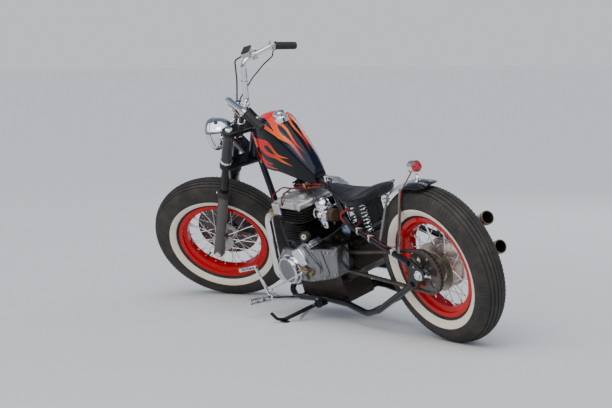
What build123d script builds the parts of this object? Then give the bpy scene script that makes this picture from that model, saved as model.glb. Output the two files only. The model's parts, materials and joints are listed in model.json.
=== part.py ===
"""Bobber motorcycle with a rigid rear end, leaning on its side stand.

The machine is described upright and steering straight ahead: X forward from
the rear axle, Y to the rider's left, Z up from the floor, in millimetres.
At the end every piece is turned to the parked place: leaned to the left until
the stand's foot meets the floor, and steered to the left stop.
"""
import os
from math import cos, degrees, radians, sin, sqrt

from build123d import *

# Wheels and steering
wheelbase = 1567
rake = 32.4
trail = 92
lean = 18.2
steering_lock = 38.6
rear_tyre_radius = 338
front_tyre_radius = 344
crown_radius = 68
clear = 0.3

# Hubs, and rims for 16 inch tyres
rear_hub_half = 34
front_hub_half = 38
rim_seat_radius = 202.8
rim_flange_radius = 217
rim_half_width = 40
rim_metal = 4
rim_well_depth = 18
spoke_radius = 1.9
spokes_a_side = 20
axle_radius = 9

# Frame tubes
rail_radius = 14
backbone_radius = 19
downtube_radius = 14.5
neck_radius = 27
stem_radius = 15
cross_radius = 11
rail_gap_rear = 118
rail_gap_seat = 85
plate_thickness = 8

# Fork
leg_gap = 100
slider_radius = 26
fork_tube_radius = 18
cover_radius = 25
slider_top = 345
lower_clamp_at = 530
upper_clamp_at = 722
clamp_thickness = 28
top_clamp_thickness = 20
disc_radius = 149
disc_gap = 64
disc_thickness = 5

# Engine
engine_half_width = 145
cylinder_front = 900
cylinder_rear = 730
case_top = 402
head_base = 500
cover_base = 562
cover_top = 612
fin_pitch = 11
fin_thickness = 3
alternator_radius = 64

# Chain drive
chain_line = 84
chain_width = 20
chain_height = 14
rear_sprocket_radius = 92
front_sprocket_radius = 40
front_sprocket_at = (552, 322)

# Exhaust
header_radius = 19
muffler_radius = 28
pipe_wall = 2

rear_axle = Vector(0, 0, rear_tyre_radius)
front_axle = Vector(wheelbase, 0, front_tyre_radius)
along_fork = Vector(-sin(radians(rake)), 0, cos(radians(rake)))
ahead_of_fork = Vector(cos(radians(rake)), 0, sin(radians(rake)))
fork_offset = front_tyre_radius * sin(radians(rake)) - trail * cos(radians(rake))


def side(y):
    """Plane of a side view at the distance y to the left, drawn in X and Z."""
    return Plane.XZ.offset(-y)


def on_fork(up, left=0, ahead=0):
    """Point of the fork, from the front axle along its legs."""
    return front_axle + along_fork * up + ahead_of_fork * ahead + Vector(0, left, 0)


def mirrored(points):
    """The same points on the right side."""
    return [(x, -y, z) for x, y, z in points]


def right(point):
    """The same point on the right side."""
    return Vector(point.X, -point.Y, point.Z)


def bar(start, end, radius, mode=Mode.ADD):
    """Adds a straight round bar to the part being built, or cuts its hole."""
    start = Vector(start)
    run = Vector(end) - start
    with BuildSketch(Plane(start, z_dir=run)) as section:
        Circle(radius)
    extrude(section.sketch, amount=run.length, mode=mode)


def strap(start, end, width, thickness):
    """Adds a flat bar to the part being built, its width along the machine."""
    start = Vector(start)
    run = Vector(end) - start
    sideways = run.cross(Vector(1, 0, 0))
    with BuildSketch(Plane(start, x_dir=sideways.cross(run), z_dir=run)) as section:
        Rectangle(width, thickness)
    extrude(section.sketch, amount=run.length)


def bent_bar(points, bends, radius, bore=0):
    """Adds a round bar or tube along straight runs joined by arcs."""
    with BuildLine() as route:
        FilletPolyline(*points, radius=bends)
    with BuildSketch(Plane(route.line @ 0, z_dir=route.line % 0)) as section:
        Circle(radius)
        if bore:
            Circle(bore, mode=Mode.SUBTRACT)
    sweep(section.sketch, path=route.line)


def block(low, high):
    """Adds a box between two corners."""
    size = Vector(high) - Vector(low)
    middle = (Vector(high) + Vector(low)) * 0.5
    with Locations(middle):
        Box(size.X, size.Y, size.Z)


pieces = {}


def keep(name, builder, body):
    """Notes a finished piece with its node name and the body it belongs to."""
    pieces[name] = (builder, body)


# Wheels: tyre, rim, hub with its laced spokes
# Columns: name, axle centre, tyre radius, tyre half width, hub radius, hub half width, flange radius
wheels = [
    ("rear", rear_axle, rear_tyre_radius, 65, 100, rear_hub_half, 104),
    ("front", front_axle, front_tyre_radius, 64, 34, front_hub_half, 52),
]
crown_angle = radians(42)
for name, centre, tyre_radius, tyre_half, hub_radius, hub_half, flange_radius in wheels:
    across = Plane(centre, x_dir=(0, 1, 0), z_dir=(1, 0, 0))
    axle_line = Axis(tuple(centre), (0, 1, 0))
    shoulder = (crown_radius * sin(crown_angle),
                tyre_radius - crown_radius * (1 - cos(crown_angle)))
    bulge_at = rim_flange_radius + 58
    with BuildPart() as tyre:
        with BuildSketch(across):
            with BuildLine():
                ThreePointArc((rim_half_width - 2, rim_flange_radius + 2), (tyre_half, bulge_at), shoulder)
                ThreePointArc(shoulder, (0, tyre_radius), (-shoulder[0], shoulder[1]))
                ThreePointArc((-shoulder[0], shoulder[1]), (-tyre_half, bulge_at),
                              (-rim_half_width + 2, rim_flange_radius + 2))
                seat_width = rim_half_width - rim_metal - clear
                Polyline((-rim_half_width + 2, rim_flange_radius + 2), (-seat_width, rim_flange_radius),
                         (-seat_width, rim_seat_radius + clear), (seat_width, rim_seat_radius + clear),
                         (seat_width, rim_flange_radius), (rim_half_width - 2, rim_flange_radius + 2))
            make_face()
        revolve(axis=axle_line)
    keep(f"{name}_tyre", tyre, f"{name}_wheel")

    well_radius = rim_seat_radius - rim_well_depth
    with BuildPart() as rim:
        with BuildSketch(across):
            with BuildLine():
                Polyline((0, well_radius - rim_metal), (18, well_radius - rim_metal),
                         (24, rim_seat_radius - rim_metal), (rim_half_width, rim_seat_radius - rim_metal),
                         (rim_half_width, rim_flange_radius),
                         (rim_half_width - rim_metal, rim_flange_radius),
                         (rim_half_width - rim_metal, rim_seat_radius),
                         (22, rim_seat_radius), (16, well_radius), (0, well_radius))
                mirror(about=Plane.YZ)
            make_face()
        revolve(axis=axle_line)
    keep(f"{name}_rim", rim, f"{name}_wheel")

    with BuildPart() as hub:
        with BuildSketch(across):
            with BuildLine():
                Polyline((-hub_half, axle_radius + clear), (-hub_half, flange_radius),
                         (-hub_half + 6, flange_radius), (-hub_half + 10, hub_radius),
                         (hub_half - 10, hub_radius), (hub_half - 6, flange_radius),
                         (hub_half, flange_radius), (hub_half, axle_radius + clear), close=True)
            make_face()
        revolve(axis=axle_line)
        step = 360 / spokes_a_side
        for end in (-1, 1):
            for number in range(spokes_a_side):
                sweep_angle = 26 if number % 2 else -26
                rim_angle = radians(number * step + (step / 2 if end > 0 else 0))
                hub_angle = rim_angle + radians(sweep_angle)
                foot = centre + Vector((flange_radius - 5) * sin(hub_angle), end * (hub_half - 3),
                                       (flange_radius - 5) * cos(hub_angle))
                head = centre + Vector((well_radius - rim_metal) * sin(rim_angle), end * 8,
                                       (well_radius - rim_metal) * cos(rim_angle))
                with BuildSketch(Plane(foot, z_dir=head - foot)):
                    Circle(spoke_radius)
                spoke_length = (head - foot).length
        extrude(amount=spoke_length)
        add(rim.part, mode=Mode.SUBTRACT)
    keep(f"{name}_hub", hub, f"{name}_wheel")

disc_bore = 42
with BuildPart() as front_disc:
    with BuildSketch(Plane(front_axle - Vector(0, disc_gap, 0), z_dir=(0, 1, 0))):
        Circle(disc_radius)
        Circle(disc_bore, mode=Mode.SUBTRACT)
    extrude(amount=disc_thickness)
    with BuildSketch(Plane(front_axle - Vector(0, disc_gap - disc_thickness, 0), z_dir=(0, 1, 0))):
        Circle(60)
        Circle(disc_bore, mode=Mode.SUBTRACT)
    extrude(amount=disc_gap - disc_thickness - front_hub_half - clear)
keep("front_disc", front_disc, "front_wheel")

sprocket_half = 4
with BuildPart() as rear_sprocket:
    with BuildSketch(Plane(rear_axle + Vector(0, chain_line - sprocket_half, 0), z_dir=(0, 1, 0))):
        Circle(rear_sprocket_radius - chain_height / 2 - 3)
        Circle(axle_radius + clear, mode=Mode.SUBTRACT)
        with PolarLocations(58, 6):
            Circle(14, mode=Mode.SUBTRACT)
    extrude(amount=2 * sprocket_half)
    with BuildSketch(Plane(rear_axle + Vector(0, rear_hub_half + clear, 0), z_dir=(0, 1, 0))):
        Circle(38)
        Circle(axle_radius + clear, mode=Mode.SUBTRACT)
    extrude(amount=chain_line - sprocket_half - rear_hub_half - clear)
keep("rear_sprocket", rear_sprocket, "rear_wheel")

# Frame: neck and backbone, downtube, two lower rails, two upper rails, axle plates, cross tubes
neck_low = on_fork(lower_clamp_at + clamp_thickness / 2 + 5, 0, -fork_offset)
neck_high = on_fork(upper_clamp_at - top_clamp_thickness / 2 - 5, 0, -fork_offset)
seat_joint = Vector(625, 0, 616)
downtube_drop = 54
neck_middle = (neck_low + neck_high) * 0.5


def over_backbone(behind, rise, left=0):
    """Point above the backbone's middle line, at a distance behind the neck's middle."""
    share = behind / (neck_middle.X - seat_joint.X)
    line = neck_middle + (seat_joint - neck_middle) * share
    return line + Vector(0, left, rise)


with BuildPart() as backbone:
    bar(neck_middle, seat_joint, backbone_radius)
    bar(neck_low, neck_high, neck_radius)
    bar(neck_low, neck_high, stem_radius + clear, mode=Mode.SUBTRACT)
keep("backbone", backbone, "root")

downtube_foot = Vector(1078, 0, 190)
with BuildPart() as downtube:
    bar(neck_low + along_fork * downtube_drop, downtube_foot, downtube_radius)
    bar(neck_low, neck_high, neck_radius, mode=Mode.SUBTRACT)
    add(backbone.part, mode=Mode.SUBTRACT)
keep("downtube", downtube, "root")

# Columns: X, distance from the middle, Z
lower_rail_route = [(1078, 12, 178), (1064, 72, 124), (1000, 100, 107), (730, 104, 130),
                    (585, 108, 128), (450, 114, 104), (352, 117, 134), (58, rail_gap_rear, rear_axle.Z - 46)]
upper_rail_route = [(600, 18, 622), (452, rail_gap_seat, 500), (48, rail_gap_rear, rear_axle.Z + 46)]
with BuildPart() as lower_rails:
    for route in (lower_rail_route, mirrored(lower_rail_route)):
        bent_bar(route, [40, 45, 120, 100, 100, 90], rail_radius)
    add(downtube.part, mode=Mode.SUBTRACT)
keep("lower_rails", lower_rails, "root")

with BuildPart() as upper_rails:
    for route in (upper_rail_route, mirrored(upper_rail_route)):
        bent_bar(route, [150], rail_radius)
    add(backbone.part, mode=Mode.SUBTRACT)
keep("upper_rails", upper_rails, "root")


def rail_point(route, x):
    """Point of a rail's straight run at the distance x ahead of the rear axle."""
    for (x1, y1, z1), (x2, y2, z2) in zip(route, route[1:]):
        if x2 <= x <= x1:
            share = (x1 - x) / (x1 - x2)
            return Vector(x, y1 + share * (y2 - y1), z1 + share * (z2 - z1))


# Columns: distance ahead of the axle, distance above it
plate_outline = [(84, 62), (38, 66), (-34, 18), (-36, -16), (4, -26), (46, -66), (92, -62), (72, 0)]
adjuster_slot = 46
with BuildPart() as axle_plates:
    for middle in (rail_gap_rear, -rail_gap_rear):
        with BuildSketch(side(middle - plate_thickness / 2)):
            with Locations((0, rear_axle.Z)):
                Polygon(*plate_outline, align=None)
                SlotOverall(adjuster_slot, 2 * axle_radius + 2 * clear, mode=Mode.SUBTRACT)
        extrude(amount=-plate_thickness)
    add(lower_rails.part, mode=Mode.SUBTRACT)
    add(upper_rails.part, mode=Mode.SUBTRACT)
keep("axle_plates", axle_plates, "root")

outer = rail_gap_rear + plate_thickness / 2
rear_axle_reach = outer + 16
with BuildPart() as rear_axle_bolt:
    bar(rear_axle - Vector(0, rear_axle_reach, 0), rear_axle + Vector(0, rear_axle_reach, 0), axle_radius)
    for end in (-1, 1):
        with BuildSketch(Plane(rear_axle + Vector(0, end * (outer + clear), 0), z_dir=(0, end, 0))):
            RegularPolygon(16, 6)
        extrude(amount=13)
    inner = rail_gap_rear - plate_thickness / 2 - clear
    bar(rear_axle + Vector(0, chain_line + sprocket_half + 1, 0), rear_axle + Vector(0, inner, 0), 15)
    bar(rear_axle - Vector(0, rear_hub_half + 1, 0), rear_axle - Vector(0, inner, 0), 15)
keep("rear_axle_bolt", rear_axle_bolt, "root")

# Columns: route of the rail that it joins, X
cross_places = [(lower_rail_route, 962), (lower_rail_route, 640), (lower_rail_route, 424),
                (upper_rail_route, 404), (upper_rail_route, 346)]
with BuildPart() as cross_tubes:
    for route, x in cross_places:
        end = rail_point(route, x)
        bar((x, -end.Y, end.Z), (x, end.Y, end.Z), cross_radius)
    add(lower_rails.part, mode=Mode.SUBTRACT)
    add(upper_rails.part, mode=Mode.SUBTRACT)
keep("cross_tubes", cross_tubes, "root")

# Engine: crankcase, covers, cylinders, head, rocker cover
case_outline = [(930, 200), (948, 330), (925, case_top), (700, case_top), (640, 428), (520, 418), (472, 372),
                (472, 292), (540, 240), (640, 200)]
sump_outline = [(975, 105), (975, 150), (930, 200), (640, 200), (625, 140), (625, 120)]
gearbox_face = 66
case_right = -engine_half_width + 5
left_face = engine_half_width - 55
with BuildPart() as crankcase:
    with BuildSketch(side(case_right)):
        Polygon(*case_outline, align=None)
    extrude(amount=case_right - gearbox_face)
    with BuildSketch(side(gearbox_face)):
        Polygon((930, 200), (948, 330), (925, case_top), (700, case_top), (640, 428), (612, 426),
                (612, 212), (640, 200), align=None)
    extrude(amount=gearbox_face - left_face)
    with BuildSketch(side(-70)):
        Polygon(*sump_outline, align=None)
    extrude(amount=-140)
    add(cross_tubes.part, mode=Mode.SUBTRACT)
    add(lower_rails.part, mode=Mode.SUBTRACT)
keep("crankcase", crankcase, "root")

cover_outline = [(920, 240), (935, 330), (880, 385), (773, 389), (690, 430), (655, 404), (612, 406),
                 (612, 262), (735, 240)]
cover_face = 176
chain_cover_back = 99
with BuildPart() as left_cover:
    with BuildSketch(side(left_face)):
        Polygon(*cover_outline, align=None)
    extrude(amount=left_face - cover_face)
    with BuildSketch(side(chain_cover_back)):
        Polygon((655, 404), (470, 420), (506, 289), (600, 262), (735, 242), align=None)
    extrude(amount=chain_cover_back - cover_face)
    with BuildSketch(side(cover_face)):
        with Locations((845, 291)):
            Circle(alternator_radius)
    extrude(amount=-26)
keep("left_cover", left_cover, "root")

with BuildPart() as right_cover:
    with BuildSketch(side(-engine_half_width + 5)):
        with Locations((655, 338)):
            Circle(80)
        with Locations((848, 310)):
            Circle(58)
        make_hull()
    extrude(amount=22)
keep("right_cover", right_cover, "root")

with BuildPart() as cylinders:
    block((cylinder_rear + 18, -engine_half_width + 22, case_top),
          (cylinder_front - 18, engine_half_width - 22, head_base))
    fin = case_top + 10
    while fin + fin_thickness < head_base:
        block((cylinder_rear, -engine_half_width, fin),
              (cylinder_front, engine_half_width, fin + fin_thickness))
        fin += fin_pitch
keep("cylinders", cylinders, "root")

with BuildPart() as cylinder_head:
    block((cylinder_rear - 8, -engine_half_width + 20, head_base),
          (cylinder_front - 6, engine_half_width - 20, cover_base))
    fin = head_base + 6
    while fin + fin_thickness < cover_base - 12:
        block((cylinder_rear - 24, -engine_half_width, fin),
              (cylinder_front + 12, engine_half_width, fin + fin_thickness))
        fin += fin_pitch
keep("cylinder_head", cylinder_head, "root")

cover_profile = [(712, cover_base), (908, cover_base), (914, 586), (880, 597), (850, cover_top),
                 (770, cover_top), (738, 597), (706, 586)]
with BuildPart() as rocker_cover:
    with BuildSketch(side(-engine_half_width + 3)):
        Polygon(*cover_profile, align=None)
    extrude(amount=-(2 * engine_half_width - 6))
keep("rocker_cover", rocker_cover, "root")

# Carburettors and air filters
carb_gap = 60
carb_height = head_base + 24
carb_x = 648
filter_front = 606
filter_face = 564
with BuildPart() as carburettors:
    for y in (carb_gap, -carb_gap):
        bar((cylinder_rear - 4, y, carb_height), (filter_front, y, carb_height), 21)
        bar((carb_x, y, carb_height - 62), (carb_x, y, carb_height + 60), 25)
        bar((carb_x, y, carb_height + 40), (carb_x, y, carb_height + 72), 33)
    bar((carb_x, -carb_gap, carb_height + 20), (carb_x, carb_gap, carb_height + 20), 6)
    add(cylinder_head.part, mode=Mode.SUBTRACT)
keep("carburettors", carburettors, "root")

with BuildPart() as air_filters:
    for y in (carb_gap, -carb_gap):
        bar((filter_front - clear, y, carb_height), (filter_face, y, carb_height), 29)
keep("air_filters", air_filters, "root")

# Exhaust: one header each side, both mufflers on the right
port_x = cylinder_front + 4
left_pipe_route = [(port_x, 80, 530), (1052, 100, 505), (1066, 118, 212), (1000, 50, 156),
                   (1000, -110, 156), (900, -180, 178), (330, -184, 190), (-176, -176, 362)]
right_pipe_route = [(port_x, -80, 530), (1052, -100, 505), (1066, -140, 270), (940, -184, 226),
                    (370, -186, 262), (-140, -176, 484)]
# Columns: name, route, bend radii, hanger's end on the pipe, hanger's end on the lower rail
exhausts = [("left", left_pipe_route, [62, 48, 42, 58, 40, 160], (330, -184, 190), (330, -117, 145)),
            ("right", right_pipe_route, [62, 60, 60, 160], (300, -184, 284), (300, -117, 162))]
for name, route, bends, hanger_top, hanger_foot in exhausts:
    tip = Vector(route[-1])
    run = (tip - Vector(route[-2])).normalized()
    with BuildPart() as exhaust:
        bent_bar(route, bends, header_radius)
        bar(tip - run * 430, tip, muffler_radius)
        with BuildSketch(Plane(tip, z_dir=run)):
            Circle(muffler_radius - pipe_wall)
        extrude(amount=-90, mode=Mode.SUBTRACT)
        bar(hanger_top, hanger_foot, 7)
        add(lower_rails.part, mode=Mode.SUBTRACT)
        add(cylinder_head.part, mode=Mode.SUBTRACT)
    keep(f"exhaust_{name}", exhaust, "root")

# Drive chain as one loop round both sprockets
with BuildPart() as drive_chain:
    for change, mode in ((chain_height / 2, Mode.ADD), (-chain_height / 2, Mode.SUBTRACT)):
        with BuildSketch(side(chain_line - chain_width / 2)) as loop:
            with Locations((0, rear_tyre_radius)):
                Circle(rear_sprocket_radius + change)
            with Locations(front_sprocket_at):
                Circle(front_sprocket_radius + change)
            make_hull()
        extrude(loop.sketch, amount=-chain_width, mode=mode)
keep("drive_chain", drive_chain, "root")

with BuildPart() as front_sprocket:
    with BuildSketch(side(gearbox_face + clear)):
        with Locations(front_sprocket_at):
            Circle(front_sprocket_radius - chain_height / 2 - clear)
    extrude(amount=gearbox_face + clear - chain_line - chain_width / 2)
keep("front_sprocket", front_sprocket, "root")


def crowned_loft(sections):
    """Adds a body with a rounded top, lofted along the machine through its sections."""
    faces = []
    for x, wide, crease, top, narrow, bottom in sections:
        with BuildSketch(Plane((x, 0, 0), x_dir=(0, 1, 0), z_dir=(1, 0, 0))) as section:
            with BuildLine():
                ThreePointArc((-wide, crease), (0, top), (wide, crease))
                Polyline((wide, crease), (narrow, bottom), (-narrow, bottom), (-wide, crease))
            make_face()
        faces.append(section.sketch)
    loft(faces, ruled=True)


# Fuel tank over the backbone
# Columns: distance behind the neck, half width at the crease, rise of the crease over the backbone's line,
# rise of the top, half width below, rise of the bottom
tank_rows = [(94, 72, 92, 150, 66, -28), (140, 86, 137, 187, 84, -33), (210, 87, 180, 222, 88, -20),
             (260, 80, 161, 219, 84, -6), (340, 66, 104, 165, 68, -2), (400, 50, 61, 109, 48, -5),
             (440, 32, 23, 55, 28, 1)]
tank_sections = []
for behind, wide, crease, top, narrow, bottom in tank_rows:
    level = over_backbone(behind, 0)
    tank_sections.append((level.X, wide, level.Z + crease, level.Z + top, narrow, level.Z + bottom))
with BuildPart() as fuel_tank:
    crowned_loft(tank_sections)
    tunnel_start = neck_middle + (seat_joint - neck_middle) * -0.1
    run = (seat_joint - tunnel_start).normalized()
    with BuildSketch(Plane(tunnel_start, x_dir=(0, 1, 0), z_dir=run)) as tunnel:
        Circle(backbone_radius + clear)
        with Locations((0, 80)):
            Rectangle(2 * backbone_radius + 2 * clear, 160)
    extrude(tunnel.sketch, amount=700, mode=Mode.SUBTRACT)
keep("fuel_tank", fuel_tank, "root")

cap_radius = 31
with BuildPart() as fuel_cap:
    bar(over_backbone(254, 202), over_backbone(248, 246), cap_radius)
    add(fuel_tank.part, mode=Mode.SUBTRACT)
keep("fuel_cap", fuel_cap, "root")

# Seat with its springs, and the battery box under it
# Columns: X, half width at the edge, edge Z, top Z, half width below, bottom Z
seat_sections = [(648, 16, 642, 652, 14, 632), (600, 38, 626, 640, 34, 606), (520, 64, 612, 626, 60, 596),
                 (440, 96, 602, 622, 90, 590), (372, 122, 612, 638, 116, 590),
                 (336, 112, 622, 654, 108, 600), (322, 70, 636, 656, 66, 614)]
with BuildPart() as seat:
    crowned_loft(seat_sections)
    add(backbone.part, mode=Mode.SUBTRACT)
    add(upper_rails.part, mode=Mode.SUBTRACT)
keep("seat", seat, "root")

with BuildPart() as seat_springs:
    for y in (62, -62):
        bar((346, y, 476), (354, y, 612), 17)
    add(seat.part, mode=Mode.SUBTRACT)
    add(cross_tubes.part, mode=Mode.SUBTRACT)
keep("seat_springs", seat_springs, "root")

battery_back = rear_tyre_radius + 30
with BuildPart() as battery_box:
    block((battery_back, -52, 484), (battery_back + 70, 52, 586))
    add(cross_tubes.part, mode=Mode.SUBTRACT)
keep("battery_box", battery_box, "root")

with BuildPart() as ignition_switch:
    bar((700, 150, 450), (688, 174, 456), 22)
    bar((700, 152, 450), (742, 138, 440), 6)
    add(left_cover.part, mode=Mode.SUBTRACT)
    add(cylinders.part, mode=Mode.SUBTRACT)
keep("ignition_switch", ignition_switch, "root")

coil_behind = 235
coil_drop = 57
with BuildPart() as ignition_coil:
    bar(over_backbone(coil_behind, -coil_drop, -46), over_backbone(coil_behind, -coil_drop, 46), 24)
    bar(over_backbone(coil_behind, -coil_drop), over_backbone(coil_behind, 0), 8)
    add(backbone.part, mode=Mode.SUBTRACT)
keep("ignition_coil", ignition_coil, "root")

# Rear fender with a round tail, its struts, tail light
fender_crown = rear_tyre_radius + 22
fender_edge = rear_tyre_radius + 7
fender_half = 55
fender_metal = 3
fender_start = 34
fender_end = -13
tail_centre = -20
with BuildPart() as rear_fender:
    start_up = Vector(sin(radians(fender_start)), 0, cos(radians(fender_start)))
    with BuildSketch(Plane(rear_axle, x_dir=(0, 1, 0), z_dir=Vector(0, 1, 0).cross(start_up))):
        with BuildLine():
            inside = fender_half - fender_metal
            ThreePointArc((-inside, fender_edge), (0, fender_crown - fender_metal), (inside, fender_edge))
            ThreePointArc((-fender_half, fender_edge), (0, fender_crown), (fender_half, fender_edge))
            Line((inside, fender_edge), (fender_half, fender_edge))
            Line((-inside, fender_edge), (-fender_half, fender_edge))
        make_face()
    revolve(axis=Axis(tuple(rear_axle), (0, 1, 0)), revolution_arc=fender_end - fender_start)
    with BuildSketch(Plane.XY.offset(rear_tyre_radius)) as tail_plan:
        with Locations((tail_centre, 0)):
            Circle(fender_half)
        with Locations((tail_centre + 150, 0)):
            Rectangle(300, 2 * fender_half + 2)
    extrude(tail_plan.sketch, amount=2 * rear_tyre_radius, mode=Mode.INTERSECT)
keep("rear_fender", rear_fender, "root")

# Columns: angle on the fender ahead of its top, X on the upper rail, width
strut_places = [(11.9, 112, 16), (28.9, 236, 12)]
strut_thickness = 4
with BuildPart() as fender_struts:
    for angle, x, width in strut_places:
        reach = fender_edge + 3
        top = rear_axle + Vector(reach * sin(radians(angle)), fender_half - 1, reach * cos(radians(angle)))
        foot = rail_point(upper_rail_route, x) + Vector(0, -1, rail_radius)
        strap(top, foot, width, strut_thickness)
        strap(right(top), right(foot), width, strut_thickness)
    add(rear_fender.part, mode=Mode.SUBTRACT)
    add(upper_rails.part, mode=Mode.SUBTRACT)
keep("fender_struts", fender_struts, "root")

fender_top = rear_axle.Z + fender_crown
tail_height = fender_top + 59
tail_face = 4
with BuildPart() as tail_light:
    bar((21, 0, fender_top - 2), (12, 0, tail_height - 15), 6)
    bar((tail_face + 32, 0, tail_height), (tail_face, 0, tail_height), 24)
    add(rear_fender.part, mode=Mode.SUBTRACT)
keep("tail_light", tail_light, "root")

with BuildPart() as tail_lens:
    bar((tail_face - clear, 0, tail_height), (tail_face - 22, 0, tail_height), 21)
keep("tail_lens", tail_lens, "root")

# Foot controls: on each side a bracket with its peg, and a lever with its toe piece
# Columns: start, end, radius
foot_bars = [((962, 112, 112), (958, 262, 170), 10), ((958, 250, 168), (955, 372, 196), 13),
             ((962, 190, 141), (1030, 205, 150), 8), ((1030, 196, 150), (1030, 222, 150), 13),
             ((1030, 216, 150), (1058, 232, 295), 7), ((1058, 226, 295), (1050, 318, 318), 9)]
with BuildPart() as foot_controls:
    for start, end, radius in foot_bars:
        bar(start, end, radius)
        bar(*mirrored([start, end]), radius)
    add(lower_rails.part, mode=Mode.SUBTRACT)
    add(crankcase.part, mode=Mode.SUBTRACT)
keep("foot_controls", foot_controls, "root")

# Fork: clamps, tubes, sliders, axle, caliper
with BuildPart() as triple_clamps:
    for level, thick in ((lower_clamp_at, clamp_thickness), (upper_clamp_at, top_clamp_thickness)):
        for hand in (1, -1):
            with BuildSketch(Plane(on_fork(level - thick / 2), x_dir=ahead_of_fork, z_dir=along_fork)):
                with Locations((-fork_offset, 0)):
                    Circle(30)
                with Locations((0, hand * leg_gap)):
                    Circle(30)
                make_hull()
            extrude(amount=thick)
    bar(on_fork(lower_clamp_at, 0, -fork_offset), on_fork(upper_clamp_at + 24, 0, -fork_offset), stem_radius)
    for hand in (1, -1):
        bar(on_fork(lower_clamp_at - 40, hand * leg_gap), on_fork(upper_clamp_at + 40, hand * leg_gap),
            fork_tube_radius + clear, mode=Mode.SUBTRACT)
keep("triple_clamps", triple_clamps, "fork")

with BuildPart() as fork_tubes:
    for hand in (1, -1):
        bar(on_fork(slider_top + 28 + clear, hand * leg_gap), on_fork(upper_clamp_at + 14, hand * leg_gap),
            fork_tube_radius)
        bar(on_fork(lower_clamp_at + clamp_thickness / 2 + clear, hand * leg_gap),
            on_fork(upper_clamp_at - top_clamp_thickness / 2 - clear, hand * leg_gap), cover_radius)
keep("fork_tubes", fork_tubes, "fork")

with BuildPart() as fork_sliders:
    for hand in (1, -1):
        bar(on_fork(-24, hand * leg_gap), on_fork(slider_top, hand * leg_gap), slider_radius)
        bar(on_fork(slider_top, hand * leg_gap), on_fork(slider_top + 28, hand * leg_gap), slider_radius + 5)
    bar(front_axle - Vector(0, 2 * leg_gap, 0), front_axle + Vector(0, 2 * leg_gap, 0),
        axle_radius + clear, mode=Mode.SUBTRACT)
keep("fork_sliders", fork_sliders, "fork")

leg_outside = leg_gap + slider_radius + clear
leg_inside = leg_gap - slider_radius - clear
axle_head = 10
axle_reach = Vector(0, leg_outside + axle_head, 0)
with BuildPart() as front_axle_bolt:
    bar(front_axle - axle_reach, front_axle + axle_reach, axle_radius)
    for end in (-1, 1):
        with BuildSketch(Plane(front_axle + Vector(0, end * leg_outside, 0), z_dir=(0, end, 0))):
            RegularPolygon(15, 6)
        extrude(amount=axle_head)
    bar(front_axle + Vector(0, front_hub_half + 1, 0), front_axle + Vector(0, leg_inside, 0), 14)
    bar(front_axle - Vector(0, front_hub_half + 1, 0), front_axle - Vector(0, leg_inside, 0), 14)
keep("front_axle_bolt", front_axle_bolt, "fork")

with BuildPart() as brake_caliper:
    with BuildSketch(Plane(on_fork(62, -disc_gap + 22, -104), x_dir=ahead_of_fork, z_dir=(0, -1, 0))):
        RectangleRounded(62, 92, 16)
    extrude(amount=58)
    with BuildSketch(Plane(on_fork(62, -disc_gap - 20, -50), x_dir=ahead_of_fork, z_dir=(0, -1, 0))):
        Rectangle(60, 40)
    extrude(amount=14)
    with BuildSketch(Plane(front_axle - Vector(0, disc_gap + 5, 0), z_dir=(0, 1, 0))):
        Circle(disc_radius + 5)
    extrude(amount=disc_thickness + 10, mode=Mode.SUBTRACT)
    add(fork_sliders.part, mode=Mode.SUBTRACT)
keep("brake_caliper", brake_caliper, "fork")

lamp_point = on_fork(lower_clamp_at + 75, 0, 89)
lamp_height = lamp_point.Z
lamp_front = lamp_point.X
lamp_radius = 75
lamp_rim = 22
lamp_depth = 104
lamp_button = 10
glass_radius = 69
glass_depth = 8
with BuildPart() as headlight:
    with BuildSketch(side(0)):
        with BuildLine():
            lamp_back = (lamp_front - lamp_depth, lamp_height + lamp_button)
            lamp_edge = (lamp_front - lamp_rim, lamp_height + lamp_radius)
            lamp_bulge = (lamp_front - 0.7 * lamp_depth, lamp_height + 0.75 * lamp_radius)
            ThreePointArc(lamp_back, lamp_bulge, lamp_edge)
            Polyline(lamp_edge, (lamp_front, lamp_height + lamp_radius), (lamp_front, lamp_height),
                     (lamp_front - lamp_depth, lamp_height), lamp_back)
        make_face()
    revolve(axis=Axis((0, 0, lamp_height), (1, 0, 0)))
    with BuildSketch(Plane((lamp_front, 0, lamp_height), z_dir=(1, 0, 0))) as opening:
        Circle(glass_radius)
    extrude(opening.sketch, amount=-glass_depth, mode=Mode.SUBTRACT)
    for hand in (1, -1):
        bar((lamp_front - 56, hand * 50, lamp_height), on_fork(655, hand * leg_gap), 8)
    add(fork_tubes.part, mode=Mode.SUBTRACT)
keep("headlight", headlight, "fork")

with BuildPart() as headlight_glass:
    with BuildSketch(Plane((lamp_front - glass_depth + clear, 0, lamp_height), z_dir=(1, 0, 0))):
        Circle(glass_radius - clear)
    extrude(amount=glass_depth + 3)
keep("headlight_glass", headlight_glass, "fork")

# Columns, from the grip's end inwards: distance over the upper clamp, distance out, distance ahead
bar_rows = [(238, 309, -186), (255, 250, -94), (219, 141, 11), (61, 55, -38)]
bar_half = [on_fork(upper_clamp_at + up, out, ahead) for up, out, ahead in bar_rows]
bar_radius = 12.7
bar_route = mirrored(bar_half) + bar_half[::-1]
with BuildPart() as handlebar:
    bent_bar(bar_route, [60, 45, 34, 34, 45, 60], bar_radius)
keep("handlebar", handlebar, "fork")

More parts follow.
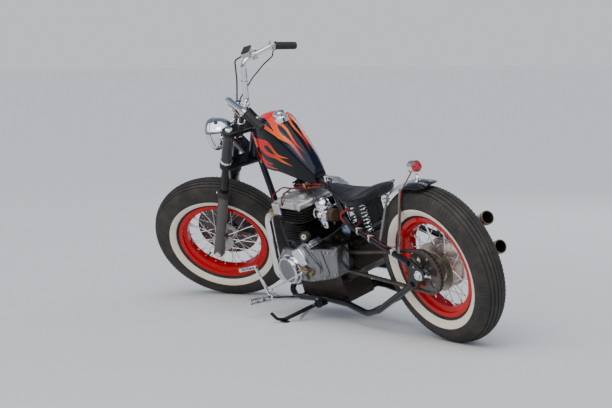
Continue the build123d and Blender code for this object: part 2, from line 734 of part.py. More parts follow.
riser_gap = 32
riser_radius = 15
clamp_half = 12
bar_rise = bar_rows[-1][0]
bar_ahead = bar_rows[-1][2]
with BuildPart() as risers:
    for hand in (1, -1):
        bar(on_fork(upper_clamp_at + top_clamp_thickness / 2 + clear, hand * riser_gap, bar_ahead),
            on_fork(upper_clamp_at + bar_rise, hand * riser_gap, bar_ahead), riser_radius)
        bar(on_fork(upper_clamp_at + bar_rise, hand * (riser_gap - clamp_half), bar_ahead),
            on_fork(upper_clamp_at + bar_rise, hand * (riser_gap + clamp_half), bar_ahead), 21)
    add(handlebar.part, mode=Mode.SUBTRACT)
keep("risers", risers, "fork")

grip_radius = 17
grip_run = (bar_half[0] - bar_half[1]).normalized()
grip_start = bar_half[1] + grip_run * 14
grip_end = bar_half[0] + grip_run * 6
with BuildPart() as grips:
    bar(grip_start, grip_end, grip_radius)
    bar(right(grip_start), right(grip_end), grip_radius)
    add(handlebar.part, mode=Mode.SUBTRACT)
keep("grips", grips, "fork")

with BuildPart() as hand_controls:
    corner = right(bar_half[2])
    inner = right(bar_half[1])
    seat_at = corner + (inner - corner) * 0.36
    run = (inner - corner).normalized()
    bar(seat_at - run * 9, seat_at + run * 9, 19)
    block((seat_at.X - 2, seat_at.Y - 30, seat_at.Z + 8), (seat_at.X + 40, seat_at.Y + 28, seat_at.Z + 44))
    lever_tip = seat_at + Vector(-30, -148, -78)
    bent_bar([seat_at + Vector(20, -20, 10), seat_at + Vector(38, -52, 0), lever_tip], [24], 5)
    bar(inner - run * 6, inner + run * 6, 22)
    add(handlebar.part, mode=Mode.SUBTRACT)
    add(grips.part, mode=Mode.SUBTRACT)
keep("hand_controls", hand_controls, "fork")

hose_radius = 3.5
hose_start = seat_at + Vector(41, 20, 24)
hose_route = [hose_start, hose_start + Vector(40, 6, -6), on_fork(830, -136, 30), on_fork(560, -136, 12),
              on_fork(300, -136, 0), on_fork(190, -132, -40), on_fork(62 + 47, -disc_gap - 12, -104)]
with BuildPart() as brake_hose:
    bent_bar(hose_route, [22, 60, 150, 120, 60], hose_radius)
    add(brake_caliper.part, mode=Mode.SUBTRACT)
    add(fork_sliders.part, mode=Mode.SUBTRACT)
    add(hand_controls.part, mode=Mode.SUBTRACT)
keep("brake_hose", brake_hose, "fork")

cable_radius = 3
# Columns: distance over the upper clamp, distance to the left, distance ahead
cable_rows = [(237, -248, -102), (196, -250, -99), (156, -236, -67), (113, -170, -32), (68, -60, -6),
              (13, -14, -16), (-122, -30, -40), (-178, -44, -58)]
cable_route = [on_fork(upper_clamp_at + up, out, ahead) for up, out, ahead in cable_rows]
with BuildPart() as throttle_cable:
    bent_bar(cable_route, [20, 30, 50, 40, 30, 60], cable_radius)
    add(triple_clamps.part, mode=Mode.SUBTRACT)
    add(hand_controls.part, mode=Mode.SUBTRACT)
    add(grips.part, mode=Mode.SUBTRACT)
keep("throttle_cable", throttle_cable, "fork")

# Wires that the frame holds: a lead to each spark plug, and the tail light's wire
lead_route = [(888, 118, 552), (934, 116, 555), (950, 112, 604), (872, 96, 642), (760, 70, 632),
              (690, 46, 638), (655, 12, 630)]
with BuildPart() as plug_leads:
    for route in (lead_route, mirrored(lead_route)):
        bent_bar(route, [14, 18, 40, 60, 20], 3.5)
    add(backbone.part, mode=Mode.SUBTRACT)
    add(cylinder_head.part, mode=Mode.SUBTRACT)
keep("plug_leads", plug_leads, "root")

on_rail = Vector(0, 8, 16)
wire_route = [(14, 14, tail_height - 9), (62, 62, fender_top - 30), (100, 116, rear_axle.Z + 108),
              rail_point(upper_rail_route, 190) + on_rail,
              rail_point(upper_rail_route, 392) + on_rail, (402, 40, 520)]
with BuildPart() as tail_light_wire:
    bent_bar(wire_route, [30, 40, 30, 16], 2.5)
    for other in (tail_light, rear_fender, fender_struts, battery_box, upper_rails):
        add(other.part, mode=Mode.SUBTRACT)
keep("tail_light_wire", tail_light_wire, "root")

# The parked place: both tyres on the floor, leaned to the left, steered to the left stop
leaned = Rotation(-lean, 0, 0)
steering_foot = Vector(wheelbase + trail, 0, 0)
steering = Plane(steering_foot, x_dir=(0, 1, 0), z_dir=along_fork).location
steered = steering * Rotation(0, 0, steering_lock) * steering.inverse()


def tyre_bottom(place, centre, radius):
    """Height of a tyre's lowest point once its wheel is turned to a place."""
    hub = (place * Location(tuple(centre))).position
    sideways = (place * Location(tuple(centre + Vector(0, 1, 0)))).position - hub
    return hub.Z - (radius - crown_radius) * sqrt(1 - sideways.Z ** 2) - crown_radius


pitch = 0
for _ in range(6):
    posed = Rotation(0, pitch, 0) * leaned
    rear_low = tyre_bottom(posed, rear_axle, rear_tyre_radius)
    front_low = tyre_bottom(posed * steered, front_axle, front_tyre_radius)
    pitch += degrees((front_low - rear_low) / wheelbase)
parked = Location((0, 0, -rear_low)) * posed

# Side stand: its leg reaches from the left lower rail to the floor
stand_pivot = Vector(778, 134, 118)
stand_reach = Vector(801, 327, 0)
stand_leg_radius = 9
pivot_pin_radius = 6
knuckle_half = 9
lug_top = 17
foot_thickness = 6
foot_plane = parked.inverse() * Location(tuple(stand_reach))
leg_lift = Vector(0, 0, foot_thickness + stand_leg_radius - 3)
foot_centre = (parked.inverse() * Location(tuple(stand_reach + leg_lift))).position
with BuildPart() as stand_bracket:
    bar(stand_pivot - Vector(0, 0, lug_top), stand_pivot + Vector(0, 0, lug_top), pivot_pin_radius)
    for level in (-lug_top, knuckle_half + clear):
        with BuildSketch(Plane.XY.offset(stand_pivot.Z + level)) as lug:
            with Locations((stand_pivot.X, stand_pivot.Y)):
                Circle(14)
            with Locations((stand_pivot.X, stand_pivot.Y - 30)):
                Rectangle(40, 10)
            make_hull()
        extrude(lug.sketch, amount=lug_top - knuckle_half - clear)
    add(lower_rails.part, mode=Mode.SUBTRACT)
keep("stand_bracket", stand_bracket, "root")

with BuildPart() as side_stand:
    with BuildSketch(Plane(foot_plane)):
        RectangleRounded(44, 30, 10)
    extrude(amount=foot_thickness)
    bar(foot_centre, stand_pivot + Vector(2, 14, -2), stand_leg_radius)
    bent_bar([foot_centre, foot_centre + Vector(4, 34, 14), foot_centre + Vector(2, 56, 52)], [30], 7)
    bar(stand_pivot - Vector(0, 0, knuckle_half), stand_pivot + Vector(0, 0, knuckle_half), 16)
    bar(stand_pivot - Vector(0, 0, lug_top), stand_pivot + Vector(0, 0, lug_top), pivot_pin_radius + clear,
        mode=Mode.SUBTRACT)
    add(stand_bracket.part, mode=Mode.SUBTRACT)
keep("side_stand", side_stand, "side_stand")

# Place every piece, with the origin under the middle of the whole machine
places = {"root": parked, "rear_wheel": parked, "side_stand": parked,
          "fork": parked * steered, "front_wheel": parked * steered}
for name, (builder, body) in pieces.items():
    builder.part.move(places[body])
corners = [builder.part.bounding_box() for builder, body in pieces.values()]
low = [min(tuple(box.min)[axis] for box in corners) for axis in range(3)]
high = [max(tuple(box.max)[axis] for box in corners) for axis in range(3)]
recentre = Location((-(low[0] + high[0]) / 2, -(low[1] + high[1]) / 2, -low[2]))
os.makedirs("parts", exist_ok=True)
for name, (builder, body) in pieces.items():
    builder.part.move(recentre)
    builder.part.label = name
    export_step(builder.part, f"parts/{name}.step")
print(f"{len(pieces)} pieces, pitch {pitch:.2f} degrees, low point {low[2]:.2f} mm")
print(f"length {high[0] - low[0]:.0f}, width {high[1] - low[1]:.0f}, height {high[2] - low[2]:.0f} mm")
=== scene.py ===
"""Bobber motorcycle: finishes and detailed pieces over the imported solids.

New pieces are modelled in millimetres on the upright machine steering straight ahead: X forward from the rear axle,
Y to the rider's left, Z up from the floor. A place then takes each mesh to the parked machine, in metres.
"""

import json
import logging
from dataclasses import dataclass
from enum import Enum
from math import acos, atan2, cos, degrees, exp, pi, radians, sin, sqrt
from typing import Callable, Iterable, Optional, Sequence, Union

import bpy
from mathutils import Matrix, Vector


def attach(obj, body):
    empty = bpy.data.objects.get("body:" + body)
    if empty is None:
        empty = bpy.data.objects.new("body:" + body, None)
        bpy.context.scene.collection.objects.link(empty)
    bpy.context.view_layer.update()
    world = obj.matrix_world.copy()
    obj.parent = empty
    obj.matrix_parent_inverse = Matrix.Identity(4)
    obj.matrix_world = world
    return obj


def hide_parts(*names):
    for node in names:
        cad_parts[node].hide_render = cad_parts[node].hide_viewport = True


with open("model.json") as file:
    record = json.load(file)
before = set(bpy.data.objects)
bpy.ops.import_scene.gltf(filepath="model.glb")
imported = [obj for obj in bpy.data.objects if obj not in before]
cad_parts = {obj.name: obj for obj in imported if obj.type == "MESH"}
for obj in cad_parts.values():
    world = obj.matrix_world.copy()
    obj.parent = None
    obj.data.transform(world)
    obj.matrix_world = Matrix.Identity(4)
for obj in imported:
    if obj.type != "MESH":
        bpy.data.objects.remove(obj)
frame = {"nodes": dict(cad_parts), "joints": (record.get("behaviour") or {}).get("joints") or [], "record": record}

log = logging.getLogger("motorcycle")

Point = Sequence[float]
Colour = tuple[float, float, float]
Route = Sequence[Point]
Piece = bpy.types.Object
Socket = bpy.types.NodeSocket

MM = 0.001
WHEELBASE = 1567.0
RAKE = radians(32.4)
TRAIL = 92.0
REAR_RADIUS = 338.0
FRONT_RADIUS = 344.0
REAR_AXLE = Vector((0.0, 0.0, REAR_RADIUS))
FRONT_AXLE = Vector((WHEELBASE, 0.0, FRONT_RADIUS))
ALONG_FORK = Vector((-sin(RAKE), 0.0, cos(RAKE)))
AHEAD_OF_FORK = Vector((cos(RAKE), 0.0, sin(RAKE)))
FORK_OFFSET = FRONT_RADIUS * sin(RAKE) - TRAIL * cos(RAKE)
LEFT = Vector((0.0, 1.0, 0.0))


def on_fork(up: float, left: float = 0.0, ahead: float = 0.0) -> Vector:
    """Point of the fork, from the front axle along its legs.

    Args:
        up: Distance along the legs.
        left: Distance to the left of the middle.
        ahead: Distance square to the legs, forward.

    Returns:
        The point on the upright machine.
    """
    return FRONT_AXLE + ALONG_FORK * up + AHEAD_OF_FORK * ahead + LEFT * left


def joint(name: str) -> dict:
    """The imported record's joint of that name."""
    return next(entry for entry in frame["joints"] if entry["name"] == name)


def parked_place() -> Matrix:
    """Matrix from the upright machine, in millimetres, to the parked one, in metres."""
    spin = joint("rear_wheel_spin")
    left = Vector(spin["axis"]).normalized()
    up = Vector(joint("stand_fold")["axis"]).normalized()
    ahead = left.cross(up).normalized()
    turn = Matrix((ahead, left, up)).transposed().to_4x4()
    origin = Vector(spin["pos_m"]) - up * REAR_RADIUS * MM
    return Matrix.Translation(origin) @ turn @ Matrix.Scale(MM, 4)


def steered_place() -> Matrix:
    """Matrix from the upright machine steering straight ahead to the fork at its left stop."""
    steering = joint("steering")
    pivot = Vector(steering["pos_m"])
    lock = radians(steering["range_deg"][1]) / 2
    turn = Matrix.Rotation(-lock, 4, Vector(steering["axis"]))
    return Matrix.Translation(pivot) @ turn @ Matrix.Translation(-pivot) @ parked_place()


class Body(Enum):
    """The bodies that pieces ride on."""

    FRAME = "frame_body"
    FORK = "fork"
    FRONT_WHEEL = "front_wheel"
    REAR_WHEEL = "rear_wheel"
    STAND = "side_stand"

    @property
    def place(self) -> Matrix:
        """Matrix from the upright machine to where this body rests."""
        return STEERED if self in (Body.FORK, Body.FRONT_WHEEL) else PARKED


PARKED = parked_place()
STEERED = steered_place()


class Signal:
    """One number socket of a material, which takes part in plain arithmetic."""

    def __init__(self, graph: "Graph", socket: Socket) -> None:
        self.graph = graph
        self.socket = socket

    def _with(self, operation: str, first: "Value", second: "Value" = 0.0, third: "Value" = 0.0) -> "Signal":
        """Adds a Math node and returns what it gives."""
        node = self.graph.node("ShaderNodeMath", {"operation": operation}, {0: first, 1: second, 2: third})
        return Signal(self.graph, node.outputs[0])

    def __add__(self, other: "Value") -> "Signal":
        """Sum."""
        return self._with("ADD", self, other)

    __radd__ = __add__

    def __sub__(self, other: "Value") -> "Signal":
        """Difference."""
        return self._with("SUBTRACT", self, other)

    def __rsub__(self, other: "Value") -> "Signal":
        """Difference from a plain number."""
        return self._with("SUBTRACT", other, self)

    def __mul__(self, other: "Value") -> "Signal":
        """Product."""
        return self._with("MULTIPLY", self, other)

    __rmul__ = __mul__

    def __abs__(self) -> "Signal":
        """Size without sign."""
        return self._with("ABSOLUTE", self)

    def __pow__(self, other: "Value") -> "Signal":
        """Power."""
        return self._with("POWER", self, other)

    def lower(self, other: "Value") -> "Signal":
        """The smaller of the two."""
        return self._with("MINIMUM", self, other)

    def higher(self, other: "Value") -> "Signal":
        """The larger of the two."""
        return self._with("MAXIMUM", self, other)

    def merged(self, other: "Signal", distance: float) -> "Signal":
        """The smaller of the two, blended over a distance where they meet."""
        return self._with("SMOOTH_MIN", self, other, distance)

    def sine(self) -> "Signal":
        """Sine of an angle in radians."""
        return self._with("SINE", self)

    def between(self, low: float, high: float) -> "Signal":
        """Rises smoothly from 0 at low to 1 at high."""
        node = self.graph.node(
            "ShaderNodeMapRange", {"interpolation_type": "SMOOTHSTEP", "clamp": True},
            {"Value": self, "From Min": low, "From Max": high})
        return Signal(self.graph, node.outputs[0])


Value = Union[float, Signal]


class Graph:
    """The node tree of one material, or of the world."""

    def __init__(self, owner: Union[bpy.types.Material, bpy.types.World]) -> None:
        owner.use_nodes = True
        self.tree = owner.node_tree
        self.tree.nodes.clear()

    def node(self, kind: str, settings: Optional[dict] = None, inputs: Optional[dict] = None) -> bpy.types.Node:
        """Adds a node.

        Args:
            kind: The node's type.
            settings: Attributes of the node, set first. "stops" gives a ramp's positions and colours.
            inputs: Values or links of its sockets, by name or number.

        Returns:
            The new node.
        """
        node = self.tree.nodes.new(kind)
        for key, value in (settings or {}).items():
            if key == "stops":
                ramp = node.color_ramp
                while len(ramp.elements) < len(value):
                    ramp.elements.new(0.5)
                for element, (position, colour) in zip(ramp.elements, value):
                    element.position = position
                    element.color = (*colour, 1.0)
            else:
                setattr(node, key, value)
        for key, value in (inputs or {}).items():
            self.feed(node.inputs[key], value)
        return node

    def feed(self, socket: Socket, value: object) -> None:
        """Sets a socket to a plain value, or links it to a signal or another socket."""
        if isinstance(value, Signal):
            self.tree.links.new(value.socket, socket)
        elif isinstance(value, Socket):
            self.tree.links.new(value, socket)
        elif socket.type == "RGBA":
            socket.default_value = (*value, 1.0)
        else:
            socket.default_value = value

    def point(self, place: Optional[Matrix] = None) -> Socket:
        """Object coordinates, in the row frame or in millimetres of the upright machine when a place is given."""
        texture = self.node("ShaderNodeTexCoord").outputs["Object"]
        if place is None:
            return texture
        inverse = place.inverted()
        location, turn, scale = inverse.decompose()
        node = self.node(
            "ShaderNodeMapping", {"vector_type": "POINT"},
            {"Vector": texture, "Location": location, "Rotation": turn.to_euler(), "Scale": scale})
        return node.outputs[0]

    def stretched(self, vector: Socket, scale: Point) -> Socket:
        """Coordinates stretched along each axis."""
        return self.node("ShaderNodeMapping", {}, {"Vector": vector, "Scale": scale}).outputs[0]

    def split(self, vector: Socket) -> tuple[Signal, Signal, Signal]:
        """The three coordinates of a vector."""
        node = self.node("ShaderNodeSeparateXYZ", {}, {"Vector": vector})
        return tuple(Signal(self, output) for output in node.outputs)

    def noise(self, vector: Socket, scale: float, detail: float = 3.0, roughness: float = 0.55) -> Signal:
        """Soft noise from 0 to 1."""
        node = self.node(
            "ShaderNodeTexNoise", {}, {"Vector": vector, "Scale": scale, "Detail": detail, "Roughness": roughness})
        return Signal(self, node.outputs[0])

    def cells(self, vector: Socket, scale: float) -> Signal:
        """Distance to the nearest cell point."""
        node = self.node("ShaderNodeTexVoronoi", inputs={"Vector": vector, "Scale": scale})
        return Signal(self, node.outputs["Distance"])

    def blend(self, factor: Value, first: object, second: object) -> Socket:
        """Colour between two, by a factor."""
        node = self.node("ShaderNodeMix", {"data_type": "RGBA"})
        self.feed(node.inputs[0], factor)
        self.feed(node.inputs[6], first)
        self.feed(node.inputs[7], second)
        return node.outputs[2]

    def ramp(self, factor: Signal, stops: Sequence[tuple[float, Colour]]) -> Socket:
        """Colour from a ramp of stops."""
        return self.node("ShaderNodeValToRGB", {"stops": stops}, {0: factor}).outputs[0]

    def relief(self, height: Signal, depth: float, below: Optional[Socket] = None) -> Socket:
        """Normal of a fine relief.

        Args:
            height: Relief from 0 to 1.
            depth: Its depth in metres.
            below: Normal that the relief lies on.

        Returns:
            The normal socket.
        """
        node = self.node("ShaderNodeBump", {}, {"Height": height, "Distance": depth, "Strength": 1.0})
        if below is not None:
            self.feed(node.inputs["Normal"], below)
        return node.outputs[0]

    def finish(self, **sockets: object) -> None:
        """Adds the material's shader and sets its sockets, named with underscores."""
        shader = self.node("ShaderNodeBsdfPrincipled")
        self.node("ShaderNodeOutputMaterial", {}, {"Surface": shader.outputs[0]})
        for key, value in sockets.items():
            self.feed(shader.inputs[key.replace("_", " ")], value)


MADE: dict[str, bpy.types.Material] = {}


@dataclass(frozen=True)
class Finish:
    """A surface finish, made once and shared."""

    name: str

    def build(self, graph: Graph) -> None:
        """Fills the material's node tree."""
        raise NotImplementedError

    @property
    def material(self) -> bpy.types.Material:
        """The finish's material."""
        if self.name not in MADE:
            MADE[self.name] = bpy.data.materials.new(self.name)
            self.build(Graph(MADE[self.name]))
        return MADE[self.name]


@dataclass(frozen=True)
class Chrome(Finish):
    """Bright plating with faint smears and a few stained places."""

    tint: Colour = (0.80, 0.815, 0.84)
    stain: Colour = (0.42, 0.36, 0.29)
    stained: float = 0.18
    haze: float = 0.05

    def build(self, graph: Graph) -> None:
        """Fills the material's node tree."""
        where = graph.point()
        smear = graph.noise(where, 34.0, 5.0)
        patch = graph.noise(where, 11.0, 6.0, 0.7).between(0.56, 0.78) * self.stained
        graph.finish(
            Base_Color=graph.blend(patch, self.tint, self.stain), Metallic=1.0,
            Roughness=smear.between(0.35, 0.8) * 0.07 + patch * 0.6 + self.haze,
            Normal=graph.relief(graph.noise(where, 60.0, 2.0), 0.00006))


@dataclass(frozen=True)
class HeatedChrome(Finish):
    """Plated pipe, straw and brown from the heat near the engine's ports and bronze at its ends."""

    tint: Colour = (0.80, 0.815, 0.84)
    straw: Colour = (0.50, 0.34, 0.17)
    brown: Colour = (0.20, 0.115, 0.075)
    port_x: float = 904.0
    port_z: float = 530.0

    def build(self, graph: Graph) -> None:
        """Fills the material's node tree."""
        x, _, z = graph.split(graph.point(PARKED))
        near = (((x - self.port_x) ** 2.0 + (z - self.port_z) ** 2.0) ** 0.5)
        where = graph.point()
        cloud = graph.noise(where, 24.0, 5.0)
        heat = 1.0 - (near + cloud * 40.0).between(40.0, 170.0)
        end = 1.0 - (x + cloud * 26.0).between(-150.0, -96.0)
        colour = graph.ramp(heat, [(0.0, self.tint), (0.35, self.straw), (0.8, self.brown)])
        graph.finish(
            Base_Color=graph.blend(end * 0.55, colour, self.straw), Metallic=1.0,
            Roughness=cloud.between(0.35, 0.8) * 0.08 + heat * 0.10 + 0.06,
            Normal=graph.relief(graph.noise(where, 60.0, 2.0), 0.00006))


@dataclass(frozen=True)
class Enamel(Finish):
    """Gloss paint under a clear coat, with dust at random."""

    colour: Colour = (0.009, 0.010, 0.013)
    dust: Colour = (0.10, 0.09, 0.08)
    dusty: float = 0.10
    gloss: float = 0.10

    def build(self, graph: Graph) -> None:
        """Fills the material's node tree."""
        where = graph.point()
        cloud = graph.noise(where, 14.0, 6.0, 0.65)
        film = cloud.between(0.45, 0.85) * self.dusty
        graph.finish(
            Base_Color=graph.blend(film, self.colour, self.dust),
            Roughness=self.gloss + film * 0.9 + graph.noise(where, 120.0, 2.0) * 0.04, Coat_Weight=0.22,
            Coat_Roughness=0.04, Specular_IOR_Level=0.22, Normal=graph.relief(graph.noise(where, 260.0, 1.0), 0.00002))


@dataclass(frozen=True)
class CastMetal(Finish):
    """Bare or painted casting with a sandy grain, oily grime at random, and darker towards the bottom."""

    colour: Colour = (0.60, 0.60, 0.59)
    grime: Colour = (0.13, 0.10, 0.075)
    grimy: float = 0.35
    roughness: float = 0.34
    metallic: float = 0.9
    grain: float = 0.00012

    def build(self, graph: Graph) -> None:
        """Fills the material's node tree."""
        where = graph.point()
        height = graph.split(where)[2]
        cloud = graph.noise(where, 16.0, 7.0, 0.68)
        # Darker, rougher and less metallic towards the bottom, added into the grime mask.
        low = 1.0 - height.between(0.12, 0.42)
        dirt = ((cloud + low * 0.22).between(0.50, 0.78) * self.grimy).lower(1.0)
        grain = graph.noise(where, 900.0, 2.0)
        graph.finish(
            Base_Color=graph.blend(dirt, graph.blend(graph.noise(where, 45.0, 3.0), self.colour,
            tuple(0.86 * part for part in self.colour)), self.grime), Metallic=self.metallic * (1.0 - dirt * 0.55),
            Roughness=self.roughness + dirt * 0.4 + grain * 0.06, Normal=graph.relief(grain, self.grain))


@dataclass(frozen=True)
class TurnedSteel(Finish):
    """Machined steel with fine rings and brown heat stain."""

    colour: Colour = (0.42, 0.38, 0.34)
    stain: Colour = (0.14, 0.085, 0.05)
    stained: float = 0.6
    roughness: float = 0.28

    def build(self, graph: Graph) -> None:
        """Fills the material's node tree."""
        where = graph.point()
        cloud = graph.noise(where, 22.0, 6.0, 0.7)
        scratch = graph.noise(graph.stretched(where, (140.0, 140.0, 18.0)), 4.0, 4.0)
        rust = cloud.between(0.42, 0.74) * self.stained
        graph.finish(
            Base_Color=graph.blend(rust, self.colour, self.stain), Metallic=0.95 - rust * 0.4,
            Roughness=self.roughness + scratch * 0.14 + rust * 0.3, Normal=graph.relief(scratch, 0.00005))


@dataclass(frozen=True)
class Rubber(Finish):
    """Black rubber, dusty brown where it has run."""

    colour: Colour = (0.020, 0.019, 0.018)
    dust: Colour = (0.105, 0.080, 0.060)
    dusty: float = 0.55
    roughness: float = 0.62

    def build(self, graph: Graph) -> None:
        """Fills the material's node tree."""
        where = graph.point()
        cloud = graph.noise(where, 9.0, 8.0, 0.7)
        grain = graph.noise(where, 520.0, 3.0)
        film = cloud.between(0.35, 0.8) * self.dusty
        graph.finish(
            Base_Color=graph.blend(film, self.colour, self.dust), Roughness=self.roughness + grain * 0.16,
            Normal=graph.relief(grain, 0.00018))


@dataclass(frozen=True)
class Whitewall(Finish):
    """Cream rubber band with fine rings and road dirt."""

    cream: Colour = (0.94, 0.86, 0.70)
    dirt: Colour = (0.40, 0.34, 0.26)

    def build(self, graph: Graph) -> None:
        """Fills the material's node tree."""
        where = graph.point()
        smudge = graph.noise(where, 26.0, 7.0, 0.7).between(0.5, 0.82) * 0.25
        grain = graph.noise(where, 420.0, 3.0)
        graph.finish(
            Base_Color=graph.blend(smudge, self.cream, self.dirt), Roughness=0.55 + grain * 0.1,
            Normal=graph.relief(grain, 0.00012))


@dataclass(frozen=True)
class Leather(Finish):
    """Black saddle leather: pebble grain, fine creases and a worn sheen."""

    colour: Colour = (0.010, 0.0105, 0.013)
    worn: Colour = (0.034, 0.035, 0.040)

    def build(self, graph: Graph) -> None:
        """Fills the material's node tree."""
        where = graph.point()
        pebble = graph.cells(where, 620.0)
        crease = graph.noise(graph.stretched(where, (5.0, 75.0, 5.0)), 3.0, 5.0).between(0.3, 0.7)
        cloud = graph.noise(where, 18.0, 6.0, 0.65)
        wear = cloud.between(0.48, 0.8)
        fine = graph.relief(pebble, 0.00022)
        graph.finish(
            Base_Color=graph.blend(wear * 0.7, self.colour, self.worn), Roughness=0.34 + wear * 0.12 + pebble * 0.1,
            Coat_Weight=0.1, Coat_Roughness=0.25, Specular_IOR_Level=0.35, Normal=graph.relief(crease, 0.0012, fine))


@dataclass(frozen=True)
class ClothWire(Finish):
    """Woven cover with a coloured tracer on black."""

    black: Colour = (0.012, 0.012, 0.013)
    tracer: Colour = (0.62, 0.018, 0.022)
    pitch: float = 210.0

    def build(self, graph: Graph) -> None:
        """Fills the material's node tree."""
        where = graph.point()
        spot = 1.0 - graph.cells(where, self.pitch).between(0.30, 0.46)
        weave = graph.cells(where, 1500.0)
        graph.finish(
            Base_Color=graph.blend(spot, self.black, self.tracer), Roughness=0.55 + weave * 0.2,
            Normal=graph.relief(weave, 0.00025))


@dataclass(frozen=True)
class Gauze(Finish):
    """Oiled wire gauze of an air filter."""

    wire: Colour = (0.17, 0.11, 0.065)
    gap: Colour = (0.045, 0.028, 0.018)

    def build(self, graph: Graph) -> None:
        """Fills the material's node tree."""
        where = graph.point()
        x, y, z = graph.split(where)
        net = ((x * 2600.0).sine() * (y * 2600.0).sine() * 0.5 + (z * 2600.0).sine() * 0.5 + 0.5)
        graph.finish(
            Base_Color=graph.blend(net.between(0.2, 0.8), self.gap, self.wire), Metallic=0.7,
            Roughness=0.42 + graph.noise(where, 80.0) * 0.15, Normal=graph.relief(net, 0.0004))


@dataclass(frozen=True)
class Moulding(Finish):
    """Moulded plastic with a fine leathery grain."""

    colour: Colour = (0.022, 0.022, 0.024)

    def build(self, graph: Graph) -> None:
        """Fills the material's node tree."""
        where = graph.point()
        grain = graph.cells(where, 900.0)
        film = graph.noise(where, 20.0, 5.0).between(0.5, 0.85)
        graph.finish(
            Base_Color=graph.blend(film * 0.2, self.colour, (0.12, 0.11, 0.10)),
            Roughness=0.42 + grain * 0.18, Normal=graph.relief(grain, 0.0001))


@dataclass(frozen=True)
class Lens(Finish):
    """Coloured or clear glass with pressed ripples."""

    colour: Colour = (0.75, 0.012, 0.012)
    clearness: float = 0.6

    def build(self, graph: Graph) -> None:
        """Fills the material's node tree."""
        where = graph.point()
        ripple = (graph.split(where)[1] * 900.0).sine()
        graph.finish(
            Base_Color=graph.blend(graph.noise(where, 30.0) * 0.3, self.colour,
            tuple(0.7 * part for part in self.colour)), Roughness=0.06 + graph.noise(where, 90.0) * 0.05,
            Transmission_Weight=self.clearness, IOR=1.5, Coat_Weight=0.8, Coat_Roughness=0.03,
            Normal=graph.relief(ripple, 0.0003))


@dataclass(frozen=True)
class FlamePaint(Finish):
    """Black gloss paint with flames that run back from the front, red at the root and yellow along the licks."""

    # Columns: distance ahead, distance across, half width
    licks: tuple = ()
    over_top: bool = False
    # Base colour under the flames: black on the sides, navy on the top, where the navy is a painted sky reflection.
    black: Colour = (0.007, 0.008, 0.011)
    front: float = 1010.0
    tips: float = 760.0
    blending: float = 3.5
    boldness: float = 1.0

    def reach(self, graph: Graph, where: Socket, start: Point, end: Point) -> Signal:
        """Distance to one tapering stroke, negative inside it."""
        first, second = Vector((start[0], start[1], 0)), Vector((end[0], end[1], 0))
        run = second - first
        away = graph.node("ShaderNodeVectorMath", {"operation": "SUBTRACT"}, {0: where, 1: first}).outputs[0]
        dot = graph.node("ShaderNodeVectorMath", {"operation": "DOT_PRODUCT"}, {0: away, 1: run / run.length_squared})
        share = Signal(graph, dot.outputs["Value"]).higher(0.0).lower(1.0)
        along = graph.node("ShaderNodeVectorMath", {"operation": "SCALE"}, {0: run, "Scale": share}).outputs[0]
        left = graph.node("ShaderNodeVectorMath", {"operation": "SUBTRACT"}, {0: away, 1: along}).outputs[0]
        length = Signal(graph, graph.node("ShaderNodeVectorMath", {"operation": "LENGTH"}, {0: left}).outputs["Value"])
        return length - (share * (end[2] - start[2]) + start[2]) * self.boldness

    def build(self, graph: Graph) -> None:
        """Fills the material's node tree."""
        x, y, z = graph.split(graph.point(PARKED))
        flat = graph.node("ShaderNodeCombineXYZ", {}, {0: x, 1: abs(y) if self.over_top else z, 2: 0.0}).outputs[0]
        edge = None
        for lick in self.licks:
            curve = between_rows(lick, 1)
            for start, end in zip(curve, curve[1:]):
                stroke = self.reach(graph, flat, start, end)
                edge = edge.merged(stroke, self.blending) if edge else stroke
        inside = 1.0 - edge.between(-0.35, 0.35)
        rim = (edge + 3.2).between(0.0, 3.2)
        heat = (self.front - x) * (1.0 / (self.front - self.tips))
        flow = graph.ramp(
            heat, [(0.0, (0.74, 0.003, 0.006)), (0.42, (0.82, 0.008, 0.004)), (0.58, (0.92, 0.05, 0.004)),
            (0.72, (0.98, 0.17, 0.006)), (0.88, (0.84, 0.03, 0.006)), (1.0, (0.50, 0.006, 0.010))])
        middle = heat.between(0.15, 0.6) * (1.0 - heat.between(0.66, 0.86))
        hot = graph.blend(rim * middle * 0.75, flow, (1.0, 0.27, 0.008))
        where = graph.point()
        film = graph.noise(where, 14.0, 6.0, 0.65).between(0.5, 0.85) * 0.06
        graph.finish(
            Base_Color=graph.blend(inside, graph.blend(film, self.black, (0.10, 0.09, 0.08)), hot),
            Roughness=0.09 + film, Coat_Weight=0.22, Coat_Roughness=0.03, Specular_IOR_Level=0.18,
            Normal=graph.relief(inside, 0.00006))


@dataclass(frozen=True)
class FloorPaint(Finish):
    """Pale matt studio floor."""

    tone: Colour = (0.74, 0.75, 0.77)

    def build(self, graph: Graph) -> None:
        """Fills the material's node tree."""
        where = graph.point()
        cloud = graph.noise(where, 0.8, 3.0)
        graph.finish(
            Base_Color=graph.blend(cloud * 0.3, self.tone, tuple(0.94 * part for part in self.tone)),
            Roughness=0.9 + cloud * 0.1, Specular_IOR_Level=0.0)


